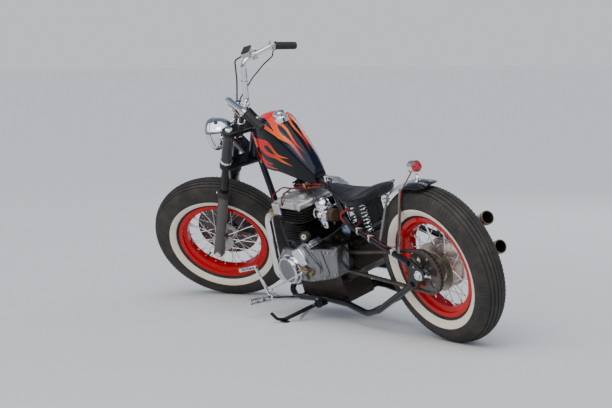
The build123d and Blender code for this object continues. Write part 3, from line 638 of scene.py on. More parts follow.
class Finishes:
    """The finishes of this machine."""

    CHROME = Chrome("chrome")
    STAINED_CHROME = Chrome("stained_chrome", stained=0.55, haze=0.09)
    BLACK_PAINT = Enamel("black_paint")
    RED_PAINT = Enamel("red_paint", colour=(0.60, 0.006, 0.010), dust=(0.30, 0.05, 0.03), dusty=0.12)
    ALLOY = CastMetal("alloy")
    SATIN = CastMetal(
        "satin_alloy", colour=(0.26, 0.265, 0.28), grimy=0.25, roughness=0.18, metallic=1.0, grain=0.00003)
    HUB = CastMetal(
        "hub_alloy", colour=(0.56, 0.49, 0.41), grime=(0.20, 0.14, 0.09), grimy=0.2, roughness=0.24, grain=0.00003)
    SLIDER = CastMetal("slider_alloy", colour=(0.15, 0.145, 0.14), grimy=0.3, roughness=0.28, grain=0.00004)
    GREY_STEEL = TurnedSteel("grey_steel", colour=(0.27, 0.26, 0.25), stain=(0.12, 0.10, 0.08), stained=0.25)
    RED_HOSE = Rubber("red_hose", colour=(0.30, 0.010, 0.012), dusty=0.1, roughness=0.4)
    BLACK_ALLOY = CastMetal(
        "black_alloy", colour=(0.020, 0.019, 0.018), grime=(0.09, 0.065, 0.045), grimy=0.5, roughness=0.3, metallic=0.5)
    BROWN_ALLOY = CastMetal(
        "brown_alloy", colour=(0.058, 0.048, 0.040), grime=(0.05, 0.038, 0.028), grimy=0.6, roughness=0.36)
    STEEL = TurnedSteel("steel")
    CHAIN = TurnedSteel("chain", colour=(0.16, 0.145, 0.13), stain=(0.05, 0.035, 0.025), roughness=0.34)
    TYRE = Rubber("tyre")
    WHITEWALL = Whitewall("whitewall")
    RUBBER = Rubber("rubber", dusty=0.12, roughness=0.5)
    LEATHER = Leather("leather")
    CLOTH = ClothWire("cloth_wire")
    GAUZE = Gauze("gauze")
    PLASTIC = Moulding("plastic")
    RED_LENS = Lens("red_lens")
    CLEAR_LENS = Lens("clear_lens", colour=(0.92, 0.95, 0.97), clearness=0.95)
    FLOOR = FloorPaint("floor_paint")
    HEATED = HeatedChrome("heated_chrome")
    DARK_STEEL = TurnedSteel("dark_steel", colour=(0.15, 0.14, 0.13), stain=(0.07, 0.055, 0.042), roughness=0.3)
    BLUE_STEEL = TurnedSteel("blue_steel", colour=(0.20, 0.26, 0.34), stain=(0.05, 0.06, 0.08), stained=0.3)
    BRONZE = TurnedSteel("bronze", colour=(0.38, 0.25, 0.13), stain=(0.13, 0.07, 0.035), stained=0.7)
    SOOT = Moulding("soot", colour=(0.012, 0.010, 0.009))
    GREY_PAINT = Enamel("grey_paint", colour=(0.045, 0.047, 0.052))
    BRASS = TurnedSteel("brass", colour=(0.62, 0.46, 0.22), stain=(0.25, 0.15, 0.06), stained=0.3)
    CREAM = Moulding("cream_ring", colour=(0.72, 0.62, 0.42))
    CERAMIC = Moulding("ceramic", colour=(0.75, 0.74, 0.70))
    FLAME_SIDE = FlamePaint(
        "flame_side", licks=(((1050, 872, 12), (1012, 846, 21), (978, 840, 22), (945, 845, 15), (914, 843, 9.5),
        (897, 826, 7.5), (880, 802, 6), (862, 786, 4.6), (838, 777, 2.8), (806, 771, 0.4)),
        ((978, 838, 22), (955, 812, 15), (932, 794, 11), (905, 786, 8), (877, 778, 7), (850, 762, 5.2), (826, 750, 3.2),
        (792, 734, 0.4)), ((1054, 812, 10), (1016, 792, 8.5), (990, 775, 7), (965, 758, 5.4), (940, 750, 3.6),
        (908, 745, 0.4)), ((1016, 784, 9), (988, 755, 6.6), (962, 739, 5.2), (930, 731, 3.4), (884, 722, 0.4))))
    # Tank top: flames laid out across the top on a navy base instead of the side's black; the navy is a painted sky
    # reflection on the same black paint.
    FLAME_TOP_SHEEN = FlamePaint(
        "flame_top_sheen", over_top=True, boldness=0.9, black=(0.004, 0.008, 0.020),
        licks=(((1050, 8, 34), (965, 12, 36), (915, 24, 33), (880, 46, 16), (850, 57, 9), (820, 49, 6.6), (797, 39, 5),
        (775, 37, 3.6), (742, 39, 0.4)), ((915, 24, 28), (880, 28, 13), (856, 22, 7), (834, 19, 5.6), (812, 22, 5),
        (790, 25, 3.8), (772, 22, 2.4), (748, 14, 0.4)),
        ((965, 72, 6.5), (925, 78, 6), (890, 73, 4.4), (866, 68, 2.8), (838, 63, 0.4))))


SLOT_FINISHES: dict[str, Finish] = {
    "tyre": Finishes.TYRE, "red_steel": Finishes.RED_PAINT, "black_paint": Finishes.BLACK_PAINT,
    "flame_paint": Finishes.BLACK_PAINT, "chrome": Finishes.CHROME, "alloy": Finishes.ALLOY,
    "black_alloy": Finishes.BLACK_ALLOY, "brown_alloy": Finishes.BROWN_ALLOY, "steel": Finishes.STEEL,
    "chain": Finishes.CHAIN, "mesh": Finishes.GAUZE, "leather": Finishes.LEATHER, "rubber": Finishes.RUBBER,
    "plastic": Finishes.PLASTIC, "red_lens": Finishes.RED_LENS, "clear_lens": Finishes.CLEAR_LENS,
    "cloth_wire": Finishes.CLOTH,
}


NODE_FINISHES: dict[str, Finish] = {
    "exhaust_left": Finishes.HEATED, "exhaust_right": Finishes.HEATED, "fender_struts": Finishes.GREY_STEEL,
}


def dress_solids() -> None:
    """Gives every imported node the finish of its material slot."""
    for entry in frame["record"]["subparts"]:
        solid = frame["nodes"][entry["node"]]
        solid.data.materials.clear()
        solid.data.materials.append(NODE_FINISHES.get(entry["node"], SLOT_FINISHES[entry["material_slot"]]).material)


class Bench:
    """Edit-mode steps that shape new pieces, in millimetres of the upright machine."""

    @staticmethod
    def clear() -> None:
        """Leaves edit mode and deselects everything."""
        if bpy.context.mode != "OBJECT":
            bpy.ops.object.mode_set(mode="OBJECT")
        bpy.ops.object.select_all(action="DESELECT")

    @classmethod
    def hold(cls, piece: Piece) -> Piece:
        """Makes one object the only selected and active one."""
        cls.clear()
        piece.select_set(True)
        bpy.context.view_layer.objects.active = piece
        return piece

    @classmethod
    def line(cls, points: Route, closed: bool = False) -> Piece:
        """Draws a run of edges and stays in edit mode with all of it selected.

        Args:
            points: The corners in order.
            closed: Whether an edge joins the last corner to the first.

        Returns:
            The new object.
        """
        cls.clear()
        bpy.ops.mesh.primitive_plane_add(size=1.0)
        piece = bpy.context.object
        bpy.ops.object.mode_set(mode="EDIT")
        bpy.ops.mesh.merge(type="CENTER")
        here = Vector(points[0])
        bpy.ops.transform.translate(value=here)
        for point in points[1:]:
            step = Vector(point) - here
            bpy.ops.mesh.extrude_vertices_move(TRANSFORM_OT_translate={"value": step})
            here = Vector(point)
        bpy.ops.mesh.select_all(action="SELECT")
        if closed:
            cls.fill(piece, (0, len(points) - 1))
            bpy.ops.mesh.select_all(action="SELECT")
        return piece

    @staticmethod
    def fill(piece: Piece, corners: Iterable[int]) -> None:
        """Joins the numbered corners by an edge, or by a face where there are more than two."""
        bpy.ops.mesh.select_mode(type="VERT")
        bpy.ops.mesh.select_all(action="DESELECT")
        bpy.ops.object.mode_set(mode="OBJECT")
        for number in corners:
            piece.data.vertices[number].select = True
        bpy.ops.object.mode_set(mode="EDIT")
        bpy.ops.mesh.edge_face_add()

    @classmethod
    def lathe(cls, profile: Sequence[tuple[float, float]], centre: Point, axis: Point = LEFT, steps: int = 64,
              closed: bool = False) -> Piece:
        """Spins a profile into a round piece.

        Args:
            profile: Radius and distance along the axis of each corner.
            centre: Where the axis starts.
            axis: Its direction.
            steps: Faces round it.
            closed: Whether the profile is a closed ring that doesn't touch the axis.

        Returns:
            The new object.
        """
        piece = cls.line([(radius, 0.0, along) for radius, along in profile], closed)
        bpy.ops.mesh.spin(steps=steps, angle=2 * pi, center=(0, 0, 0), axis=(0, 0, 1), use_auto_merge=True)
        bpy.ops.mesh.select_all(action="SELECT")
        bpy.ops.mesh.remove_doubles(threshold=0.01)
        return cls.turn(cls.close(piece), centre, axis)

    @classmethod
    def turn(cls, piece: Piece, centre: Point, axis: Point) -> Piece:
        """Moves a piece so that its own Z lies along the axis from the centre."""
        turn = Vector(axis).to_track_quat("Z", "Y").to_matrix().to_4x4()
        piece.data.transform(Matrix.Translation(Vector(centre)) @ turn)
        return piece

    @classmethod
    def plate(cls, outline: Sequence[tuple[float, float]], origin: Point, right: Point, up: Point,
              thickness: float, bevel: float = 0.0, segments: int = 2) -> Piece:
        """Cuts a flat piece from an outline drawn on any plane.

        Args:
            outline: Distances to the right and up of each corner.
            origin: Where the outline's zero lies.
            right: Direction of the first distance.
            up: Direction of the second.
            thickness: How far the piece reaches along right x up.
            bevel: Width of the rounded edges.
            segments: Faces across that rounding.

        Returns:
            The new object.
        """
        right, up = Vector(right).normalized(), Vector(up).normalized()
        origin, out = Vector(origin), right.cross(up)
        piece = cls.line([origin + right * across + up * high for across, high in outline], True)
        bpy.ops.mesh.edge_face_add()
        bpy.ops.mesh.extrude_region_move(TRANSFORM_OT_translate={"value": out * thickness})
        return cls.close(piece, bevel, segments)

    @classmethod
    def panel(cls, outline: Sequence[tuple[float, float]], y: float, thickness: float, bevel: float = 0.0,
              segments: int = 2) -> Piece:
        """Cuts a flat piece from a side view outline of X and Z, from y outwards to the left by the thickness."""
        return cls.plate(outline, (0, y, 0), (1, 0, 0), (0, 0, 1), -thickness, bevel, segments)

    @classmethod
    def loft(cls, sections: Sequence[Route]) -> Piece:
        """Bridges closed sections of the same number of corners into one skin.

        Args:
            sections: The corners of each section in order.

        Returns:
            The new object.
        """
        cls.clear()
        count = len(sections[0])
        loops = []
        for section in sections:
            bpy.ops.mesh.primitive_circle_add(vertices=count, radius=1.0)
            loop = bpy.context.object
            for vertex, corner in zip(loop.data.vertices, section):
                vertex.co = corner
            loops.append(loop)
        piece = cls.join(loops)
        bpy.ops.object.mode_set(mode="EDIT")
        bpy.ops.mesh.select_all(action="SELECT")
        bpy.ops.mesh.bridge_edge_loops()
        for first in (0, count * (len(sections) - 1)):
            cls.fill(piece, range(first, first + count))
        return cls.close(piece)

    @classmethod
    def soften(cls, piece: Piece, levels: int = 1) -> Piece:
        """Subdivides a piece smoothly."""
        return cls.modify(piece, "SUBSURF", levels=levels, render_levels=levels)

    @classmethod
    def modify(cls, piece: Piece, kind: str, **settings: object) -> Piece:
        """Adds one modifier with its settings, in their order, and applies it."""
        cls.hold(piece)
        modifier = piece.modifiers.new(kind.lower(), kind)
        for key, value in settings.items():
            setattr(modifier, key, value)
        bpy.ops.object.modifier_apply(modifier=modifier.name)
        return piece

    @classmethod
    def swell(cls, piece: Piece, cell: float = 5.0, cap: float = 5.5, last: int = 20) -> Piece:
        """Swells a cushion by a cloth simulation with its underside held.

        Args:
            piece: The cushion.
            cell: Size of its cells.
            cap: How far a point may move.
            last: Last frame of the simulation.

        Returns:
            The cushion.
        """
        piece.data.transform(Matrix.Scale(MM, 4))
        cls.modify(piece, "REMESH", mode="VOXEL", voxel_size=cell * MM)
        start = [vertex.co.copy() for vertex in piece.data.vertices]
        held = piece.vertex_groups.new(name="held")
        held.add([vertex.index for vertex in piece.data.vertices if vertex.normal.z < -0.5], 1.0, "REPLACE")
        cloth = piece.modifiers.new("padding", "CLOTH")
        cloth.settings.use_pressure = True
        cloth.settings.uniform_pressure_force = 4.0
        cloth.settings.effector_weights.gravity = 0.0
        cloth.settings.vertex_group_mass = held.name
        for number in range(1, last + 1):
            bpy.context.scene.frame_set(number)
        bpy.ops.object.modifier_apply(modifier=cloth.name)
        bpy.context.scene.frame_set(1)
        for vertex, place in zip(piece.data.vertices, start):
            move = vertex.co - place
            if move.length > cap * MM:
                vertex.co = place + move.normalized() * cap * MM
        piece.vertex_groups.clear()
        piece.data.transform(Matrix.Scale(1 / MM, 4))
        return cls.soften(piece, 1)

    @classmethod
    def close(cls, piece: Piece, bevel: float = 0.0, segments: int = 2) -> Piece:
        """Turns all faces outwards, leaves edit mode and rounds the sharp edges."""
        bpy.ops.mesh.select_all(action="SELECT")
        bpy.ops.mesh.normals_make_consistent(inside=False)
        bpy.ops.object.mode_set(mode="OBJECT")
        return cls.bevel(piece, bevel, segments) if bevel else piece

    @classmethod
    def bevel(cls, piece: Piece, width: float, segments: int = 2, limit: float = 30.0) -> Piece:
        """Rounds the edges that are sharper than a limit in degrees."""
        return cls.modify(
            piece, "BEVEL", width=width, segments=segments, angle_limit=radians(limit), use_clamp_overlap=True)

    @classmethod
    def block(cls, low: Point, high: Point, bevel: float = 1.0, segments: int = 2) -> Piece:
        """Makes a rounded box between two corners."""
        low, high = Vector(low), Vector(high)
        cls.clear()
        bpy.ops.mesh.primitive_cube_add(size=1.0, location=(0, 0, 0))
        piece = bpy.context.object
        size = high - low
        piece.data.transform(Matrix.Translation((high + low) / 2) @ Matrix.Diagonal((*size, 1.0)))
        return cls.bevel(piece, bevel, segments)

    @classmethod
    def rod(cls, start: Point, end: Point, radius: float, bevel: float = 0.0, sides: int = 20) -> Piece:
        """Makes a straight round or many-sided bar, its ends rounded by the bevel."""
        start, end = Vector(start), Vector(end)
        cls.clear()
        bpy.ops.mesh.primitive_cylinder_add(vertices=sides, radius=radius, depth=(end - start).length)
        piece = bpy.context.object
        cls.turn(piece, (start + end) / 2, end - start)
        return cls.bevel(piece, bevel, 2, 50.0) if bevel else piece

    @classmethod
    def pin(cls, x: float, z: float, start: float, end: float, radius: float, bevel: float = 0.0,
            sides: int = 20) -> Piece:
        """Makes a bar that lies across the machine, between two distances to the left."""
        return cls.rod((x, start, z), (x, end, z), radius, bevel, sides)

    @classmethod
    def tube(cls, points: Route, radius: float, sides: int = 10, smooth: bool = True) -> Piece:
        """Makes a round wire or tube along a route.

        Args:
            points: The route.
            radius: Its radius.
            sides: Faces round it.
            smooth: Whether it curves through its points, or runs straight between them.

        Returns:
            The new object.
        """
        cls.clear()
        curve = bpy.data.curves.new("route", "CURVE")
        curve.dimensions = "3D"
        curve.bevel_depth = radius
        curve.bevel_resolution = max(1, sides // 4)
        curve.use_fill_caps = True
        curve.resolution_u = 6
        spline = curve.splines.new("BEZIER" if smooth else "POLY")
        if smooth:
            spline.bezier_points.add(len(points) - 1)
            for knot, point in zip(spline.bezier_points, points):
                knot.co = point
                knot.handle_left_type = knot.handle_right_type = "AUTO"
        else:
            spline.points.add(len(points) - 1)
            for knot, point in zip(spline.points, points):
                knot.co = (*point, 1.0)
        piece = bpy.data.objects.new("route", curve)
        bpy.context.scene.collection.objects.link(piece)
        cls.hold(piece)
        bpy.ops.object.convert(target="MESH")
        piece = bpy.context.object
        bpy.ops.object.mode_set(mode="EDIT")
        bpy.ops.mesh.select_all(action="SELECT")
        bpy.ops.mesh.remove_doubles(threshold=0.01)
        return cls.close(piece)

    @classmethod
    def coil(cls, start: Point, end: Point, radius: float, wire: float, turns: int) -> Piece:
        """Winds a coil spring between two points."""
        start, end = Vector(start), Vector(end)
        turn = (end - start).to_track_quat("Z", "Y").to_matrix()
        count = turns * 14
        return cls.tube(
            [start + turn @ Vector((radius * cos(2 * pi * number / 14), radius * sin(2 * pi * number / 14),
            (end - start).length * number / count)) for number in range(count + 1)], wire, 8, False)

    @classmethod
    def copy(cls, piece: Piece, change: Matrix) -> Piece:
        """Copies a piece with its own mesh and moves the copy."""
        twin = piece.copy()
        twin.data = piece.data.copy()
        twin.data.transform(change)
        if change.determinant() < 0:
            twin.data.flip_normals()
        bpy.context.scene.collection.objects.link(twin)
        return twin

    @classmethod
    def ring(cls, piece: Piece, count: int, centre: Point, axis: Point = LEFT) -> Piece:
        """Repeats a piece round an axis and joins the copies."""
        middle = Matrix.Translation(Vector(centre))
        copies = [
            cls.copy(piece, middle @ Matrix.Rotation(2 * pi * number / count, 4, Vector(axis)) @ middle.inverted())
            for number in range(1, count)]
        return cls.join([piece, *copies])

    @classmethod
    def join(cls, pieces: Sequence[Piece]) -> Piece:
        """Joins pieces into the first of them."""
        cls.clear()
        for piece in pieces:
            piece.select_set(True)
        bpy.context.view_layer.objects.active = pieces[0]
        if len(pieces) > 1:
            bpy.ops.object.join()
        return pieces[0]

    @classmethod
    def cut(cls, piece: Piece, cutter: Piece) -> Piece:
        """Cuts one piece by another, which is used up."""
        cls.modify(piece, "BOOLEAN", operation="DIFFERENCE", object=cutter, solver="EXACT")
        bpy.data.objects.remove(cutter)
        return piece

    @classmethod
    def paint(cls, piece: Piece, *finishes: Finish, choose: Optional[Callable[[Vector], int]] = None) -> Piece:
        """Gives a piece its finishes, one per face by its middle where there are several."""
        piece.data.materials.clear()
        for finish in finishes:
            piece.data.materials.append(finish.material)
        if choose:
            for face in piece.data.polygons:
                face.material_index = choose(face.center)
        return piece

    @classmethod
    def fit(cls, pieces: Union[Piece, Sequence[Piece]], name: str, slot: str,
            stands_for: Iterable[str] = (), smooth: float = 35.0, finish: Optional[Finish] = None,
            body: Body = Body.FRAME) -> Piece:
        """Joins finished pieces, takes them to their place and lets them ride on their body.

        Args:
            pieces: The piece, or the pieces to be joined, in millimetres of the upright machine.
            name: The name of the whole.
            slot: The record's material slot.
            stands_for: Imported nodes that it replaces.
            smooth: Angle in degrees below which edges are shaded smooth.
            finish: Its finish, unless it has been painted or takes the slot's own.
            body: The body that carries it.

        Returns:
            The joined piece.
        """
        piece = pieces if isinstance(pieces, Piece) else cls.join(pieces)
        cls.hold(piece)
        piece.name = name
        piece.data.name = name
        piece.data.transform(body.place)
        piece.matrix_world = Matrix.Identity(4)
        if finish or not piece.data.materials:
            cls.paint(piece, finish or SLOT_FINISHES[slot])
        bpy.ops.object.shade_smooth_by_angle(angle=radians(smooth))
        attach(piece, body.value)
        if stands_for:
            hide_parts(*stands_for)
        log.info("%s: %d faces on %s", name, len(piece.data.polygons), body.value)
        return piece


@dataclass
class Studio:
    """Pale floor, soft light, and the camera of the photograph."""

    eye: tuple = (-5.9423, 4.2542, 1.1920)
    view: tuple = (0.81807381, -0.56754897, -0.09296994)
    right: tuple = (-0.57002599, -0.82162666, -0.000107)
    lens: float = 98.37
    floor_size: float = 160.0
    sky: tuple = (
        (0.0, (0.02, 0.022, 0.025)), (0.06, (0.03, 0.033, 0.04)), (0.14, (0.42, 0.42, 0.43)),
        (0.30, (0.62, 0.68, 0.78)), (0.55, (0.24, 0.29, 0.38)), (1.0, (0.16, 0.20, 0.28)))
    backdrop: Colour = (0.80, 0.82, 0.85)

    def set_camera(self) -> None:
        """Places the camera."""
        data = bpy.data.cameras.new("camera")
        data.lens = self.lens
        data.sensor_width = 36.0
        data.sensor_fit = "HORIZONTAL"
        data.clip_end = 500.0
        camera = bpy.data.objects.new("camera", data)
        forward = Vector(self.view).normalized()
        right = Vector(self.right).normalized()
        up = right.cross(forward)
        camera.matrix_world = (Matrix.Translation(self.eye) @ Matrix((right, up, -forward)).transposed().to_4x4())
        bpy.context.scene.collection.objects.link(camera)
        bpy.context.scene.camera = camera

    def lay_floor(self) -> None:
        """Lays the floor under the tyres."""
        Bench.clear()
        bpy.ops.mesh.primitive_plane_add(size=self.floor_size, location=(0, 0, -0.0006))
        floor = bpy.context.object
        floor.name = "studio_floor"
        Bench.paint(floor, Finishes.FLOOR)

    def hang_lamp(self, name: str, place: Point, target: Point, size: float, power: float, colour: Colour) -> None:
        """Hangs a square soft lamp that points at a target."""
        data = bpy.data.lights.new(name, "AREA")
        data.size = size
        data.energy = power
        data.color = colour
        lamp = bpy.data.objects.new(name, data)
        lamp.matrix_world = (
            Matrix.Translation(place) @ (Vector(target) - Vector(place)).to_track_quat("-Z", "Y").to_matrix().to_4x4())
        bpy.context.scene.collection.objects.link(lamp)

    def hang_sun(self) -> None:
        """Hangs a broad even light over the whole floor."""
        data = bpy.data.lights.new("ceiling", "SUN")
        data.energy = 2.6
        data.angle = radians(85)
        data.color = (1.0, 0.98, 0.95)
        lamp = bpy.data.objects.new("ceiling", data)
        lamp.matrix_world = Vector((-0.35, 0.5, 0.9)).to_track_quat("Z", "Y").to_matrix().to_4x4()
        bpy.context.scene.collection.objects.link(lamp)

    def fill_room(self) -> None:
        """Fills the room with a soft light, bright above and darker at the height of the horizon."""
        world = bpy.data.worlds.new("room")
        bpy.context.scene.world = world
        graph = Graph(world)
        height = graph.split(graph.node("ShaderNodeTexCoord").outputs["Generated"])[2]
        light = graph.node("ShaderNodeBackground", {}, {0: graph.ramp(height, self.sky), 1: 0.85})
        plain = graph.node("ShaderNodeBackground", {}, {0: self.backdrop, 1: 0.9})
        seen = graph.node("ShaderNodeLightPath").outputs["Is Camera Ray"]
        mix = graph.node("ShaderNodeMixShader", {}, {0: seen, 1: light.outputs[0], 2: plain.outputs[0]})
        graph.node("ShaderNodeOutputWorld", {}, {0: mix.outputs[0]})

    def build(self) -> None:
        """Builds the whole studio."""
        self.set_camera()
        self.lay_floor()
        self.fill_room()
        self.hang_sun()
        self.hang_lamp("key", (-3.2, 3.6, 4.6), (0.0, 0.0, 0.5), 2.4, 60.0, (1.0, 0.97, 0.93))
        self.hang_lamp("back", (2.2, -5.0, 3.2), (0.0, 0.0, 0.6), 2.2, 42.0, (0.9, 0.95, 1.0))


def arc(centre: tuple[float, float], radius: float, start: float, end: float, count: int) -> list[tuple[float, float]]:
    """Points along an arc, its angles in degrees."""
    angles = [radians(start + (end - start) * number / count) for number in range(count + 1)]
    return [(centre[0] + radius * cos(angle), centre[1] + radius * sin(angle)) for angle in angles]


def circle_through(a: tuple[float, float], b: tuple[float, float], c: tuple[float, float]
                   ) -> tuple[tuple[float, float], float]:
    """Centre and radius of the circle through three points."""
    bx, by, cx, cy = b[0] - a[0], b[1] - a[1], c[0] - a[0], c[1] - a[1]
    double = 2 * (bx * cy - by * cx)
    x = (cy * (bx * bx + by * by) - by * (cx * cx + cy * cy)) / double
    y = (bx * (cx * cx + cy * cy) - cx * (bx * bx + by * by)) / double
    return (a[0] + x, a[1] + y), sqrt(x * x + y * y)


def round_rectangle(width: float, height: float, corner: float, count: int = 4) -> list[tuple[float, float]]:
    """Outline of a rectangle round zero with rounded corners."""
    outline = []
    for turn, (x, y) in enumerate(((1, 1), (-1, 1), (-1, -1), (1, -1))):
        middle = (x * (width / 2 - corner), y * (height / 2 - corner))
        outline += arc(middle, corner, turn * 90, turn * 90 + 90, count)
    return outline


def disc(radius: float, count: int = 32, centre: tuple[float, float] = (0.0, 0.0)) -> list[tuple[float, float]]:
    """Outline of a circle."""
    return arc(centre, radius, 0, 360 * (count - 1) / count, count - 1)


@dataclass
class Wheel:
    """Tyre with ribs and whitewall, hub, spokes, nipples and valve."""

    name: str
    body: Body
    centre: Vector
    radius: float
    half_width: float
    hub_profile: list
    flange_radius: float
    flange_y: float
    crown_radius: float = 68.0
    crown_angle: float = 42.0
    flange_top: float = 217.0
    rim_half: float = 40.0
    seat_radius: float = 203.1
    whitewall: tuple = (229.0, 257.5)
    whitewall_lift: float = 0.9
    grooves: tuple = (8.5, 25.5, 42.0)
    groove_half: float = 2.4
    groove_depth: float = 4.2
    bars: int = 110
    spokes_a_side: int = 20
    spoke_radius: float = 1.5
    well_radius: float = 180.8
    nipple_radius: float = 3.3
    hub_finish: Finish = Finishes.ALLOY

    def side_circle(self) -> tuple[tuple[float, float], float]:
        """Circle of the side wall, as distance from the middle and radius from the axle."""
        angle = radians(self.crown_angle)
        shoulder = (self.crown_radius * sin(angle), self.radius - self.crown_radius * (1 - cos(angle)))
        return circle_through(
            (self.rim_half - 2, self.flange_top + 2), (self.half_width, self.flange_top + 58), shoulder)

    def shoulder_angle(self) -> float:
        """Angle on the side wall's circle where the tread begins, in degrees."""
        middle, _ = self.side_circle()
        angle = radians(self.crown_angle)
        return degrees(
            atan2(self.radius - self.crown_radius * (1 - cos(angle)) - middle[1],
            self.crown_radius * sin(angle) - middle[0]))

    def tyre_half(self) -> list[tuple[float, float]]:
        """Outer half of the tyre's section, from the middle of the tread to the rim, as (side, radius)."""
        outline = [(0.0, self.radius)]
        for groove in self.grooves:
            for along, drop in ((-1.25, 0.0), (-0.8, 1.0), (0.8, 1.0), (1.25, 0.0)):
                angle = (groove + along * self.groove_half) / self.crown_radius
                reach = self.crown_radius - drop * self.groove_depth
                outline.append((reach * sin(angle), self.radius - self.crown_radius + reach * cos(angle)))
        middle, reach = self.side_circle()
        start = self.shoulder_angle()
        end = degrees(atan2(self.flange_top + 2 - middle[1], self.rim_half - 2 - middle[0]))
        inner, outer = self.whitewall
        for side, radius in arc(middle, reach, start, end, 26):
            lift = self.whitewall_lift if inner < radius < outer else 0.0
            outline.append((side + lift, radius))
        return outline

    def make_tyre(self) -> None:
        """Makes the tyre with its ribs, shoulder bars and whitewalls."""
        half = self.tyre_half()
        seat = self.rim_half - 4.3
        ring = [(radius, side) for side, radius in half] + [(self.flange_top, seat), (self.seat_radius, seat)]
        mirrored = [(radius, -side) for radius, side in reversed(ring[1:])]
        tyre = Bench.lathe(mirrored + ring, self.centre, steps=96, closed=True)
        inner, outer = self.whitewall

        def band(face: Vector) -> int:
            """Which finish a face of the tyre takes."""
            away = face - self.centre
            radius = sqrt(away.x ** 2 + away.z ** 2)
            return 1 if inner - 1 < radius < outer and abs(away.y) > 46 else 0

        Bench.paint(tyre, Finishes.TYRE, Finishes.WHITEWALL, choose=band)
        Bench.fit(tyre, f"{self.name}_tyre_ribbed", "tyre", [f"{self.name}_tyre"], 28, body=self.body)
        self.make_bars()

    def make_bars(self) -> None:
        """Makes the fine bars round both shoulders."""
        middle, reach = self.side_circle()
        top = self.shoulder_angle() + 2
        outside = arc(middle, reach + 1.3, top, 16, 6)
        inside = arc(middle, reach - 1.5, 16, top, 6)
        sides = []
        for hand in (1, -1):
            bar = Bench.plate([(hand * side, radius) for side, radius in outside + inside],
                              self.centre - Vector((1.5, 0, 0)), (0, 1, 0), (0, 0, 1), 3.0)
            sides.append(Bench.ring(bar, self.bars, self.centre))
        bars = Bench.join(sides)
        Bench.fit(bars, f"{self.name}_tyre_shoulder_bars", "tyre", body=self.body)

    def make_hub(self) -> None:
        """Makes the hub with its laced spokes and their nipples."""
        parts = [Bench.lathe(self.hub_profile, self.centre, steps=64, closed=True)]
        step = 360 / self.spokes_a_side
        for end in (-1, 1):
            for number in (0, 1):
                rim_angle = radians(number * step + (step / 2 if end > 0 else 0))
                hub_angle = rim_angle + radians(26 if number else -26)
                foot = self.centre + Vector(
                    ((self.flange_radius - 5) * sin(hub_angle), end * self.flange_y,
                    (self.flange_radius - 5) * cos(hub_angle)))
                head = self.centre + Vector(
                    ((self.well_radius - 4) * sin(rim_angle), end * 8, (self.well_radius - 4) * cos(rim_angle)))
                run = (head - foot).normalized()
                spoke = Bench.join([Bench.rod(foot - run * 3, head, self.spoke_radius, sides=8),
                                    Bench.rod(head - run * 15, head + run * 2, self.nipple_radius, 0.6, sides=8)])
                parts.append(Bench.ring(spoke, self.spokes_a_side // 2, self.centre))
        hub, *spokes = parts
        spokes = Bench.join(spokes)
        Bench.fit(spokes, f"{self.name}_spokes", "chrome", body=self.body)
        Bench.fit(
            hub, f"{self.name}_hub_shell", "alloy", [f"{self.name}_hub"], 30, finish=self.hub_finish, body=self.body)

    def make_valve(self) -> None:
        """Makes the tyre's valve on the rim."""
        foot = self.centre + Vector((sin(2.1), 0, cos(2.1))) * (self.well_radius - 4)
        inwards = (self.centre - foot).normalized()
        valve = Bench.join(
            [Bench.rod(foot, foot + inwards * 30, 3.6, 0.5, 12),
            Bench.rod(foot + inwards * 28, foot + inwards * 38, 4.6, 1.0, 12)])
        Bench.fit(valve, f"{self.name}_valve", "rubber", body=self.body)

    def build(self) -> None:
        """Builds the wheel."""
        self.make_tyre()
        self.make_hub()
        self.make_valve()


def between_rows(rows: Sequence[Sequence[float]], cuts: int) -> list[list[float]]:
    """Rows of numbers with smooth in-between rows added.

    Args:
        rows: The given rows.
        cuts: How many rows are added between two of them.

    Returns:
        All rows in order.
    """
    count = len(rows)
    filled = []
    for number in range(count - 1):
        before, start = rows[max(number - 1, 0)], rows[number]
        end, after = rows[number + 1], rows[min(number + 2, count - 1)]
        for cut in range(cuts + 1):
            t = cut / (cuts + 1)
            filled.append(
                [0.5 * (2 * b + (c - a) * t + (2 * a - 5 * b + 4 * c - d) * t * t + (3 * b - a - 3 * c + d) * t ** 3)
                for a, b, c, d in zip(before, start, end, after)])
    return filled + [list(rows[-1])]


